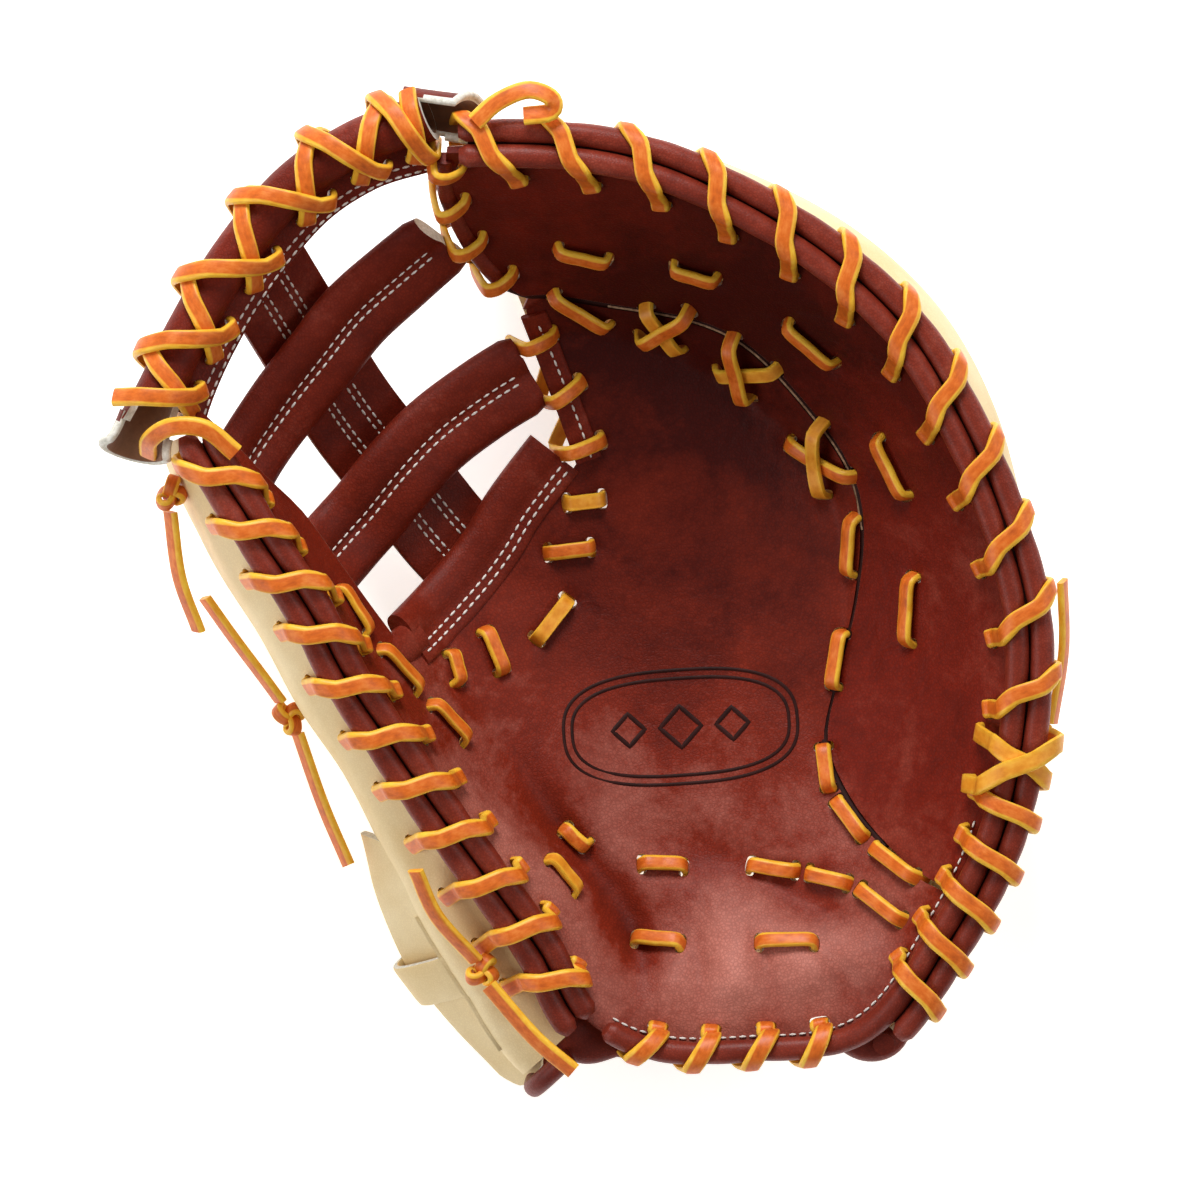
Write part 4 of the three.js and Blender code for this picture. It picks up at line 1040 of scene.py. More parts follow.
def waxed_thread(name, tint, shade):
    """Waxed sewing thread, two plies twisted together: small light and dark bands, a dull shine.
    A ply is half a millimetre wide, as real ones are."""
    material, tree = new_material(name)
    where = add_node(tree, "TexCoord").outputs["Object"]
    plies = add_node(
        tree,
        "TexNoise",
        {"Vector": where, "Scale": per_metre(0.5), "Detail": 3, "Roughness": 0.55},
    )
    colour = add_node(tree, "ValToRGB", {"Fac": plies.outputs["Fac"]}, [(0.3, shade), (0.6, tint)])
    twisted = add_node(
        tree, "Bump", {"Height": plies.outputs["Fac"], "Distance": 0.06 * MM, "Strength": 0.6}
    )
    shader = add_node(
        tree,
        "BsdfPrincipled",
        {
            "Base Color": colour.outputs["Color"],
            "Normal": twisted.outputs["Normal"],
            "IOR": 1.5,
            "Roughness": 0.55,
        },
    )
    add_node(tree, "OutputMaterial", {"Surface": shader.outputs["BSDF"]})
    return material


def burnished(name, tint, shade):
    """Leather pressed with a hot die: darker than the hide round it, and its grain flattened. The same dark
    finish is also used as painted shade in the gaps of seams.
    """
    material, tree = new_material(name)
    where = add_node(tree, "TexCoord").outputs["Object"]
    clouds = add_node(
        tree,
        "TexNoise",
        {"Vector": where, "Scale": per_metre(5), "Detail": 4, "Roughness": 0.55},
    )
    colour = add_node(tree, "ValToRGB", {"Fac": clouds.outputs["Fac"]}, [(0.3, shade), (0.7, tint)])
    flattened = add_node(
        tree,
        "Bump",
        {"Height": grain_height(tree, where, 1.1), "Distance": 0.04 * MM, "Strength": 0.4},
    )
    shader = add_node(
        tree,
        "BsdfPrincipled",
        {
            "Base Color": colour.outputs["Color"],
            "Normal": flattened.outputs["Normal"],
            "IOR": 1.45,
            "Specular IOR Level": 0.2,
            "Roughness": 0.6,
        },
    )
    add_node(tree, "OutputMaterial", {"Surface": shader.outputs["BSDF"]})
    return material


PALM_LEATHER = oiled_leather("oiled_steerhide_palm", "4a0c04", "842713", "c67b6c")
# The finger panel's leather is a darker copy of the palm's: painted shade on the steep finger wall.
SHADED_FINGER_LEATHER = oiled_leather("oiled_steerhide_fingers_painted_shade", "480b03", "7c1e0d", "b45a48")
WEB_LEATHER = oiled_leather("oiled_steerhide_web", "4a0e06", "7e2614", "b5604e")
WELT_LEATHER = oiled_leather(
    "rolled_steerhide_welt",
    "54130b",
    "8c3322",
    "c9745e",
    grain_mm=0.9,
    roughness=(0.34, 0.48),
    coat=0.2,
)
BACK_LEATHER = blonde_leather("vegetable_tanned_back")
LACE_LEATHER = rawhide_lace("waxed_rawhide_lace")
PALE_EDGE = cut_edge("cut_edge_of_blonde", "f2efe6", "cfcabb")
BROWN_EDGE = cut_edge("cut_edge_of_brown", "b98a72", "7a4634")
HOLE_EDGE = cut_edge("cut_edge_in_holes", "e2dad3", "a79a92")
TAN_SUEDE = suede("suede_inside", "8f6244", "62402b")
LINING = suede("lining_flesh_side", "c79f72", "a27a52")
WHITE_THREAD = waxed_thread("waxed_thread", "f6f1ea", "cfc6bd")
TAN_THREAD = waxed_thread("waxed_tan_thread", "d9b98a", "b08f60")
# This finish serves the pressed mark, and also stands for painted shade in the seams' gaps.
DARK_STAMP_AND_SHADE = burnished("burnished_stamp_and_painted_shade", "35100a", "220804")
SEAM_EDGE = cut_edge("cut_edge_in_seam", "c09c7c", "7d5a40")


# Laces

LACE_LIFT = LACE_THICKNESS / 2 + 1.6 * GAP

# A lace's section as shares of its width and thickness. edge is 1 where its cut side shows.
LACE_SECTION = table(
    "across above edge",
    (-0.5, 0.05, 1),
    (-0.42, 0.34, 1),
    (-0.33, 0.48, 0.9),
    (-0.24, 0.54, 0),
    (0, 0.56, 0),
    (0.2, 0.55, 0),
    (0.38, 0.51, 0.1),
    (0.46, 0.42, 0.8),
    (0.5, 0.26, 1),
    (0.5, -0.3, 1),
    (0.45, -0.48, 0.8),
    (0.2, -0.5, 0.45),
    (-0.2, -0.5, 0.45),
    (-0.45, -0.48, 0.8),
    (-0.5, -0.25, 1),
)
LACE_SHADES = [row.edge for row in LACE_SECTION]

# Each lace adds the slots that it needs in the leather, as the two stations of a short bar.
slots = []


def lace_section(width=LACE_WIDTH, thickness=LACE_THICKNESS):
    """A flat strip with one edge bevelled, which shows as a yellow line."""
    return [(row.across * width, row.above * thickness) for row in LACE_SECTION]


def ribbon(points, ups, through=()):
    """Stations of a flat lace through points, and the slots that it needs in the leather.

    Each entry of through has the first of the two points either side of a slot, and the one on
    the seen side, where the lace lies square to the stretch that is seen."""
    squared, straight = {}, {}
    for first, seen in through:
        run = (first - 1, first) if seen == first else (seen, seen + 1)
        across = (points[run[1]] - points[run[0]]).cross(ups[seen]).normalized()
        squared[first] = squared[first + 1] = across
        straight[first + 1 if seen == first else first] = (points[first + 1] - points[first]).normalized()
    stations = []
    side = None
    last = len(points) - 1
    for i, point in enumerate(points):
        along = (points[min(i + 1, last)] - points[max(i - 1, 0)]).normalized()
        along = straight.get(i, along)
        across = squared.get(i, along.cross(ups[i]))
        if side and across.dot(side) < 0:
            across = -across
        if across.length > 0.5 or not side:
            side = across
        side = (side - along * side.dot(along)).normalized()
        stations.append((point, side, side.cross(along).normalized(), 1))
    for first, _ in through:
        a, b = stations[first][0], stations[first + 1][0]
        along = (b - a).normalized()
        across = squared[first] - along * squared[first].dot(along)
        across.normalize()
        up = across.cross(along).normalized()
        slots.append(((a - along, across, up, 1), (b + along, across, up, 1)))
    return stations


def in_from_edge(bearing, depth):
    """Point of the palm a distance in from the leather's edge, and its normal."""
    point = rim_frame(bearing)[0]
    middle = place(*POCKET)
    share = 1 - depth / math.hypot(point.x - middle.x, point.y - middle.y)
    return bowl(bearing, share), bowl_normal(bearing, share)


def palm_hole(bearing, inset=1):
    """Where a lace goes down into the palm leather, a number of LACE_HOLE_INSET in from the rim."""
    return in_from_edge(bearing, inset * LACE_HOLE_INSET - LEATHER)


def back_hole(bearing):
    """Where a lace comes out of the back, just below the welts."""
    return back_face(bearing, 0.07), back_normal(bearing, 0.07)


def heel_edge(bearing):
    """The underside of the palm leather's own edge."""
    point, _, out = rim_frame(bearing)
    return point - out * 1.2 - UP * (WELT_DIAMETER / 2 + 2 * GAP + LEATHER), -UP


def spaced_bearings(first, last, pitch):
    """Bearings along the rim a given distance apart."""
    steps = 400
    found = []
    walked = 0
    before = rim_point(first)
    for i in range(steps + 1):
        bearing = first + (last - first) * i / steps
        point = rim_point(bearing)
        walked += (point - before).length
        before = point
        if walked >= len(found) * pitch:
            found.append(bearing)
    return found


# The way over the welts: which welt, 1 for the outer and -1 for the inner, and how far round it.
OVER_WELTS = ((1, -12), (1, 35), (1, 88), (-1, 92), (-1, 145), (-1, 192))
OVER_HEEL = ((-1, -20), (-1, 20), (-1, 60), (-1, 100), (-1, 140), (-1, 190))


def round_welts(over, reach, bearing_at):
    """Points and ups of a lace on its way over the welts. bearing_at takes the share of the way."""
    points, ups = [], []
    for side, angle in over:
        turn = math.radians(angle)
        share = 0.5 - 0.33 * math.cos(turn) - side * 0.1
        point, _, out = rim_frame(bearing_at(share))
        direction = out * math.cos(turn) + UP * math.sin(turn)
        points.append(point + out * (side * WELT_SPACING / 2) + direction * reach)
        ups.append(direction)
    return points, ups


def whip_lace(bearings, slant, over, outer_hole, inside=True, lift=LACE_LIFT, inset=(1, 1)):
    """A lace whipped over the welts, into the palm leather and out of the back, again and again.

    slant is how far each turn leans, as a share of the way to the next, at the first and last."""
    reach = WELT_DIAMETER / 2 + lift
    points, ups, through = [], [], []
    last = len(bearings) - 1
    for i, bearing in enumerate(bearings):
        after, before = bearings[min(i + 1, last)], bearings[max(i - 1, 0)]
        step = (after - before) / (1 if i in (0, last) else 2)
        lean = blend(*slant, i / last)
        depth = blend(*inset, i / last)
        start, end = bearing - step * lean / 2, bearing + step * lean / 2
        inner, inner_normal = palm_hole(end, depth)
        outer, outer_normal = outer_hole(start)
        if inside:
            through.append((len(points), len(points) + 1))
            points.append(outer - outer_normal * (1.4 * lift + LEATHER))
            ups.append(outer_normal)
        points.append(outer + outer_normal * lift)
        ups.append(outer_normal)
        on_top = round_welts(over, reach, lambda share: bearing + step * lean * (share - 0.5))
        points += on_top[0]
        ups += on_top[1]
        near, near_normal = palm_hole(bearing + step * lean * 0.45, depth * 0.82)
        points.append(near + near_normal * (lift + GAP))
        ups.append(near_normal)
        through.append((len(points), len(points)))
        points.append(inner + inner_normal * (lift + GAP))
        points.append(inner - inner_normal * (1.4 * lift + LEATHER))
        ups += [inner_normal, inner_normal]
    return ribbon(points, ups, through)


def sewn_lace(stitches, over=0, under=0):
    """A lace sewn in and out of a panel. A fifth value says that the stitch starts on a web bar.

    over and under lift it off other laces, as a number of LEATHER."""
    points, ups, through = [], [], []
    high = LACE_LIFT + 2 * GAP + over * LEATHER
    low = -(LACE_LIFT + LEATHER + 0.5 + under * LEATHER)
    last = None

    def add(x, y, height):
        point, normal = on_bowl(x, y)
        points.append(point + normal * height)
        ups.append(normal)

    for x0, y0, x1, y1, *on_bar in stitches:
        extra = WEB_BAR_THICKNESS / 2 if on_bar else 0
        if last:
            add((last[0] + x0) / 2, (last[1] + y0) / 2, low - extra / 2)
        through.append((len(points), len(points) + 1))
        add(x0, y0, low - extra)
        add(blend(x0, x1, DIP), blend(y0, y1, DIP), high + extra)
        add((x0 + x1) / 2, (y0 + y1) / 2, high + extra + 0.3)
        through.append((len(points), len(points)))
        add(blend(x1, x0, DIP), blend(y1, y0, DIP), high)
        add(x1, y1, low)
        last = (x1, y1)
    return ribbon(points, ups, through)


def lace_along(rows, face, steps=24):
    """A loose lace along a line in the air, with its face one way."""
    points = line_in_air(rows, steps)
    return ribbon(points, [Vector(face)] * len(points))


def lace_mesh(stations, steps=5, width=SEEN_LACE_WIDTH, thickness=SEEN_LACE_THICKNESS):
    """A lace through stations, with a few more between each two."""
    bm = fresh_mesh()
    tube_of(bm, finer(stations, steps), lace_section(width, thickness), LACE_SHADES)
    return bm


def lace_piece(name, bm, ending="_finished"):
    """A lace that replaces the part's own."""
    return piece(name + ending, bm, [LACE_LEATHER], [name], SHARP_ON_LACE)


WHIPS = {
    "finger_rim_lace": dict(
        bearings=spaced_bearings(109, -17, RIM_LACE_PITCH),
        slant=(0.66, 0.66),
        over=OVER_WELTS,
        outer_hole=back_hole,
    ),
    "corner_rim_lace": dict(
        bearings=spaced_bearings(-26, -54, RIM_LACE_PITCH * 0.66),
        slant=(-0.3, -0.4),
        over=OVER_WELTS,
        outer_hole=back_hole,
        lift=LACE_LIFT + 1.7 * GAP,
    ),
    "thumb_rim_lace": dict(
        bearings=spaced_bearings(162, 256, THUMB_LACE_PITCH),
        slant=(0.9, 0.4),
        over=OVER_WELTS,
        outer_hole=back_hole,
        lift=LACE_LIFT + 2.1 * GAP,
        inset=(0.74, 1),
    ),
    "heel_lace": dict(
        bearings=spaced_bearings(-90, -62, HEEL_LACE_PITCH),
        slant=(0.6, 0.6),
        over=OVER_HEEL,
        outer_hole=heel_edge,
        inside=False,
        lift=LACE_LIFT + 1.3 * GAP,
    ),
}

# Laces sewn across the palm and finger panels: the two holes of each stitch, in percent.
SEWN = {
    "finger_face_lace": [
        (-4.9, 33.8, 1.3, 32.5),
        (7.4, 32.0, 12.8, 30.5),
        (19.5, 26.5, 25.3, 21.8),
        (29.3, 15.2, 32.8, 8.4),
        (33.3, 1.4, 32.8, -6.4),
    ],
    "palm_edge_lace": [
        (27.2, 7.2, 26.7, 0.6),
        (26.0, -4.4, 24.9, -10.7),
        (23.8, -15.9, 24.5, -20.8),
        (25.0, -21.4, 28.3, -25.6),
        (28.9, -26.1, 33.9, -29.6),
    ],
    "little_finger_lace": [
        (15.7, -28.2, 21.2, -28.8),
        (21.9, -28.9, 26.7, -30.1),
        (27.3, -30.3, 32.5, -33.9),
    ],
    "heel_pad_lace": [
        (4.1, -28.1, 9.3, -28.4),
        (9.0, -36.1, 3.5, -35.6),
    ],
    "heel_middle_lace": [(16.6, -35.9, 23.3, -36.0)],
    "thumb_pad_lace": [
        (-4.0, -24.4, -1.2, -26.4),
        (-2.4, -31.3, -5.8, -27.4),
    ],
    "palm_web_lace": [
        (-16.0, -6.6, -15.1, -10.1),
        (-10.3, -9.0, -12.4, -4.3),
        (-7.0, -5.8, -3.2, -1.2),
        (-0.6, 3.8, -5.9, 3.2),
        (-3.8, 8.2, 0.5, 8.7),
    ],
    "web_finger_lace": [
        (-18.0, 42.4, -14.2, 41.6, True),
        (-17.6, 38.2, -13.9, 38.6, True),
        (-16.2, 34.2, -12.1, 34.8, True),
        (-13.0, 30.6, -8.9, 31.4, True),
    ],
    "web_palm_lace": [
        (-8.9, 23.9, -4.6, 25.4, True),
        (-5.8, 18.4, -1.8, 20.6, True),
        (-4.4, 13.3, 0.5, 14.7, True),
    ],
    "thumb_edge_lace": [
        (-28.0, 0.0, -24.5, -5.2),
        (-23.6, -6.1, -19.0, -10.9),
        (-18.2, -11.7, -14.0, -15.9),
    ],
    "joint_lace_low": [
        (-5.4, 29.4, 1.3, 25.7),
        (4.6, 28.2, 8.8, 23.2),
        (12.0, 21.4, 19.3, 21.6),
        (19.7, 14.6, 27.3, 10.6),
    ],
    "joint_lace_high": [
        (4.0, 24.8, 9.9, 27.7),
        (14.0, 25.4, 16.0, 18.4),
        (23.6, 16.8, 24.0, 8.6),
    ],
}

# How far a lace passes over and under the others, as a number of LEATHER.
HIGH_OVER = {"joint_lace_high": 1.1}

for name, spec in WHIPS.items():
    lace_piece(name, lace_mesh(whip_lace(**spec)))
for name, stitches in SEWN.items():
    height = HIGH_OVER.get(name, 0)
    lace_piece(name, lace_mesh(sewn_lace(stitches, height, height), width=SEWN_LACE_WIDTH))


# Leather panels

def inside(outline, at):
    """Whether a place lies inside an outline."""
    found = False
    for a, b in zip(outline, outline[1:] + outline[:1]):
        if (a.y > at.y) != (b.y > at.y) and at.x < a.x + (at.y - a.y) / (b.y - a.y) * (b.x - a.x):
            found = not found
    return found


def near_outline(bm, outline, rings):
    """Drops the faces that lie outside an outline, but for a few rings of them."""
    kept = {vertex for vertex in bm.verts if inside(outline, vertex.co)}
    for _ in range(rings):
        kept |= {other for vertex in kept for edge in vertex.link_edges for other in edge.verts}
    dropped = [vertex for vertex in bm.verts if vertex not in kept]
    bmesh.ops.delete(bm, geom=dropped, context="VERTS")


def dent_at_holes(bm):
    """Pulls the leather in where a lace goes through it."""
    tree = KDTree(len(slots))
    for i, (a, b) in enumerate(slots):
        tree.insert((a[0] + b[0]) / 2, i)
    tree.balance()
    bm.normal_update()
    for vertex in bm.verts:
        _, _, distance = tree.find(vertex.co)
        if distance < HOLE_DENT_REACH:
            depth = HOLE_DENT * math.exp(-((distance / HOLE_DENT_RADIUS) ** 2))
            vertex.co -= vertex.normal * depth


def slot_cutter(name, slots_to_cut, room_across, room_above):
    """A helper with a short bar for each slot, a little larger than the lace."""
    bm = fresh_mesh()
    section = oval(LACE_WIDTH + room_across, LACE_THICKNESS + room_above, 16, 3)
    for ends in slots_to_cut:
        tube_of(bm, ends, section)
    return scratch_object(name, bm)


def thickened(made, thickness, **settings):
    """Gives a sheet a wall on its inner side."""
    wall = made.modifiers.new("wall", "SOLIDIFY")
    wall.thickness = thickness * MM
    wall.offset = -1
    for name, setting in settings.items():
        setattr(wall, name, setting)
    apply_modifiers(made)


# Painted light and shade on the brown leather: lighter on the heel, the thumb's pad and the right wall,
# where the light falls, and darker in the pocket's middle and towards the fingers, where shade falls.
# Places, half sizes and amounts.
PAINTED_LIGHT_AND_SHADE = table(
    "x y across along amount",
    (8, -24, 18, 8, 0.09),
    (2, -30, 26, 14, 0.12),
    (14, -43, 24, 8, 0.08),
    (8, -4, 22, 14, -0.1),
    (5, 22, 24, 14, -0.22),
    (24, 32, 30, 14, -0.12),
    (-14, -22, 8, 16, 0.12),
    (42, -4, 8, 30, 0.08),
)

# How much paler the leather is on a pad and darker in a fold, for each LEATHER of height: partly the pull-up
# of stretched leather, partly a painted highlight on the pads and painted shade in the folds.
PULL_UP_AND_PAINTED_SHADING = 0.1


# A face of a slot's wall is this near the slot's middle, this small, and this square to its way
# through. A face whose normal is flatter than RAW_SIDE is a cut edge.
HOLE_REACH = 4.4 * MM
HOLE_FACE = 2e-5
HOLE_SQUARENESS = 0.25
RAW_SIDE = 0.12


def painted_light_and_shade_at(x, y):
    """How much lighter the leather is painted at a place in percent: painted light above nought, painted
    shade below it.
    """
    return sum(
        row.amount * math.exp(-(((x - row.x) / row.across) ** 2) - ((y - row.y) / row.along) ** 2)
        for row in PAINTED_LIGHT_AND_SHADE
    )


def paint_leather(made):
    """Sets the tone of a panel, which paints light and shade into its colour, and gives its cut edges,
    underside and holes their own finish.
    """
    holes = KDTree(len(slots))
    for i, (a, b) in enumerate(slots):
        holes.insert(((a[0] + b[0]) / 2 + SHIFT) * MM, i)
    holes.balance()
    mesh = made.data
    tone = mesh.attributes.get("tone") or mesh.attributes.new("tone", "FLOAT", "POINT")
    values = []
    for vertex in mesh.vertices:
        at = vertex.co / MM - SHIFT
        x, y = at.x / MITT_WIDTH * 100, at.y / MITT_LENGTH * 100
        values.append(painted_light_and_shade_at(x, y) + PULL_UP_AND_PAINTED_SHADING * form_at(x, y) / LEATHER)
    tone.data.foreach_set("value", values)
    for face in mesh.polygons:
        _, i, distance = holes.find(face.center)
        through = (slots[i][1][0] - slots[i][0][0]).normalized()
        at_hole = distance < HOLE_REACH and face.area < HOLE_FACE
        if at_hole and abs(face.normal.dot(through)) < HOLE_SQUARENESS:
            face.material_index = 3
        elif abs(face.normal.z) < RAW_SIDE:
            face.material_index = 1
        elif face.normal.z < 0:
            face.material_index = 2
        else:
            face.material_index = 0


# The bowl's sheet has this many columns round, each so many degrees wide, and rows outwards.
BOWL_COLUMNS = 400
BOWL_COLUMN = 0.9
BOWL_ROWS = 84


def on_sheet(u, v):
    """Point of the bowl for a corner of its sheet."""
    bearing = round(u * BOWL_COLUMNS) * BOWL_COLUMN - 180
    return bowl(bearing, round(v * BOWL_ROWS) / BOWL_ROWS)


def bowl_panel(name, node, outline, leather, cutter):
    """A panel of the bowl: the whole bowl's sheet, cut to an outline and slotted for the laces."""
    bm = fresh_mesh()
    verts = sheet_of(bm, BOWL_COLUMNS, BOWL_ROWS, on_sheet)
    bmesh.ops.remove_doubles(bm, verts=verts, dist=1e-3)
    near_outline(bm, outline, 3)
    face_outwards(bm, bowl(0, 0), UP)
    dent_at_holes(bm)
    finishes = [leather, BROWN_EDGE, LINING, HOLE_EDGE]
    made = piece(name, bm, finishes, [node], outwards=False)
    thickened(made, LEATHER, use_even_offset=True)
    column = column_over(name + "_column", outline)
    cut(made, "INTERSECT", column)
    cut(made, "DIFFERENCE", cutter)
    bpy.data.objects.remove(column)
    paint_leather(made)
    return made


seam_line = smooth_line(places(SEAM), 4)
far_right = place(FAR, SEAM[-1].y)
palm_outline = [
    *seam_line,
    far_right,
    place(FAR, -FAR),
    place(-FAR, -FAR),
    place(-FAR, 16.8),
    *reversed(smooth_line(places(WEB_SIDE_OF_PALM), 3)),
    place(*PALM_TOP_CORNER),
]
SEAM_GAP = Vector((SEAM_OPENING, SEAM_OPENING))
finger_outline = [
    *reversed([at + SEAM_GAP for at in seam_line]),
    *reversed(smooth_line(places(WEB_SIDE_OF_FINGERS), 3)),
    place(WEB_SIDE_OF_FINGERS[0].x, FAR),
    place(FAR, FAR),
    far_right + SEAM_GAP,
]
cutter = slot_cutter("slot_cutter", slots, SLOT_ROOM_ACROSS, SLOT_ROOM_ABOVE)
palm = bowl_panel("palm_leather", "palm", palm_outline, PALM_LEATHER, cutter)
finger_face = bowl_panel("finger_leather", "finger_face", finger_outline, SHADED_FINGER_LEATHER, cutter)


BACK_ROWS = 60


def open_web():
    """What shows between the web's bars: the thumb's back ends BACK_TUCK under the palm's edge."""
    tuck = Vector((BACK_TUCK, BACK_TUCK))
    edge = places(WEB_SIDE_OF_PALM)
    outline = [at + Vector((BACK_TUCK, -BACK_TUCK)) for at in edge[:2]]
    outline.append(edge[2] - Vector((0, 2 * BACK_TUCK)))
    outline += [at - tuck for at in edge[3:]]
    outline += [place(-42, FAR) - Vector((BACK_TUCK, 0)), place(FAR, FAR)]
    return column_over("open_web", outline)


def back_panel(name, node, first, last, columns, trim=None):
    """The leather of the back between two bearings, with what trim covers cut away."""
    def surface(u, v):
        return back_face(blend(first, last, round(u * columns) / columns), v)

    bm = fresh_mesh()
    sheet_of(bm, columns, BACK_ROWS, surface)
    middle = blend(first, last, 0.5)
    face_outwards(bm, back_face(middle, 0.3), back_normal(middle, 0.3))
    made = piece(name, bm, [BACK_LEATHER, PALE_EDGE], [node], outwards=False)
    thickened(made, LEATHER, use_even_offset=True)
    cut(made, "DIFFERENCE", cutter)
    if trim:
        cut(made, "DIFFERENCE", trim)
        bpy.data.objects.remove(trim)
    return made


back_panel("finger_side_back", "finger_back", *FINGERS, columns=220)
back_panel("thumb_side_back", "thumb_back", *THUMB, columns=130, trim=open_web())


# Seams

def along_bowl(rows, above, steps=8):
    """Points and normals of a line laid over the bowl through places in percent."""
    points, ups = [], []
    for at in smooth_line(places(rows), steps):
        point, normal = on_bowl(at.x / MITT_WIDTH * 100, at.y / MITT_LENGTH * 100)
        points.append(point + normal * above)
        ups.append(normal)
    return points, ups


# The strip that binds the palm's edge towards the web, and the row of stitches along it.
BINDING = table("x y", (-7.1, 27.3), (-5.0, 22.2), (-3.0, 17.2), (-1.2, 12.6))
BINDING_STITCHES = table("x y", (-6.6, 26.4), (-4.5, 21.8), (-2.5, 17.0), (-0.9, 12.8))
CORNER_FOLD = table("x y", (-7.7, 28.5), (-6.4, 28.2), (-4.2, 28.3), (-1, 28.0))

# A near-black strip under the seam's opening: painted shade in the groove between the palm and finger
# panels.
points, ups = along_bowl(table("x y", (-9.6, 29.6), (-7.6, 28.9)) + SEAM[:12], -1.75)
swept_piece("seam_groove_in_painted_shade", points, ups, oval(3.6, 2.4, 12), [DARK_STAMP_AND_SHADE])
points, ups = along_bowl(CORNER_FOLD, -2.1)
swept_piece("seam_corner_fold", points, ups, oval(9.5, 2, 16, 3), [WEB_LEATHER])
points, ups = along_bowl(SEAM[1:7], -0.75)
points = [point + side * (-0.3) for point, side, _, _ in stations_of(points, ups)]
swept_piece("seam_pale_edge", points, ups, oval(0.8, 0.9, 8), [SEAM_EDGE])
points, ups = along_bowl(BINDING, 0.35, 10)
swept_piece("palm_edge_binding", points, ups, oval(8.2, 2.2, 20, 3), [WEB_LEATHER])
points, ups = along_bowl(table("x y", (-16.4, 42.3)) + WEB_SIDE_OF_FINGERS[1:5], -0.8, 10)
swept_piece("finger_edge_binding", points, ups, oval(5.2, 4.4, 20, 2.4), [WELT_LEATHER])


# Welts along the rim

def pinched(point):
    """How much a lace that is drawn tight squeezes the welts at a place."""
    laced = [bearing for spec in WHIPS.values() for bearing in spec["bearings"]]
    nearest = min((point - rim_point(bearing)).length for bearing in laced)
    return 1.02 - 0.09 * math.exp(-((nearest / 4.5) ** 2))


def welt(node, first, last, side):
    """A welt between two bearings, on the outer side of the rim's line or the inner one."""
    steps = round(abs(last - first) * 2.2)
    points, ups, scales = [], [], []
    for i in range(steps + 1):
        point, _, out = rim_frame(blend(first, last, i / steps))
        points.append(point + out * (side * WELT_SPACING / 2))
        ups.append(UP)
        near_end = min(i, steps - i)
        scales.append(pinched(point) * min(1, 0.62 + 0.2 * near_end))
    section = oval(WELT_DIAMETER, WELT_DIAMETER, 22, 2.2)
    return swept_piece(
        node + "_rolled", points, ups, section, [WELT_LEATHER], [node], scales
    )


def welt_filler(name, first, last):
    """The seam allowance that shows between the two welts, drawn near black: painted shade in the crevice
    between them.
    """
    steps = round(abs(last - first))
    points = [rim_point(blend(first, last, i / steps)) - UP * 2.4 for i in range(steps + 1)]
    swept_piece(name, points, [UP] * len(points), oval(4.6, 3.6, 12), [DARK_STAMP_AND_SHADE])


welt_filler("finger_seam_allowance", FINGERS[0] - 1, FINGERS[1] + 1)
welt_filler("thumb_seam_allowance", THUMB[0] + 1, THUMB[1] - 1)
welt("palm_welt", FINGERS[0], HEEL_END, -1)
welt("finger_welt_outer", *FINGERS, 1)
welt("thumb_welt_inner", *THUMB, -1)
welt("thumb_welt_outer", *THUMB, 1)


# Web

def web_line(rows, steps, off=0, above=0):
    """Points and normals of a web piece, off to one side of its centre line and above it."""
    x, y, sink = (along_table(rows, column) for column in ("x", "y", "sink"))
    points, ups = [], []
    for i in range(steps + 1):
        t = i / steps
        point, normal = on_bowl(x(t), y(t))
        points.append(point - normal * (sink(t) * WEB_BAR_THICKNESS))
        ups.append(normal)
    if off or above:
        stations = stations_of(points, ups)
        points = [point + side * off + up * above for point, side, up, _ in stations]
    return points, ups


# The section of a web bar: two rolls either side of the seam that is sewn along its middle.
BAR_SECTION = table(
    "across above",
    (0, 0.26),
    (0.05, 0.31),
    (0.14, 0.45),
    (0.25, 0.52),
    (0.36, 0.49),
    (0.45, 0.32),
    (0.5, 0),
    (0.45, -0.34),
    (0.34, -0.48),
    (0.2, -0.5),
    (0, -0.42),
    (-0.2, -0.5),
    (-0.34, -0.48),
    (-0.45, -0.34),
    (-0.5, 0),
    (-0.45, 0.32),
    (-0.36, 0.49),
    (-0.25, 0.52),
    (-0.14, 0.45),
    (-0.05, 0.31),
)


def web_bar(node, rows, steps=70):
    """A bar that is a little narrower at its pale cut ends."""
    points, ups = web_line(rows, steps)
    section = rounded_section(BAR_SECTION, WEB_BAR_WIDTH, WEB_BAR_THICKNESS)
    scales = [min(1, 0.9 + 0.035 * min(i, steps - i)) for i in range(steps + 1)]
    finish = [WEB_LEATHER, PALE_EDGE]
    made = swept_piece(
        node + "_rolled", points, ups, section, finish, [node], scales
    )
    raw_faces(made, is_end)
    cut(made, "DIFFERENCE", cutter)
    return made


web_bar("web_upper_bar", UPPER_BAR)
web_bar("web_lower_bar", LOWER_BAR)

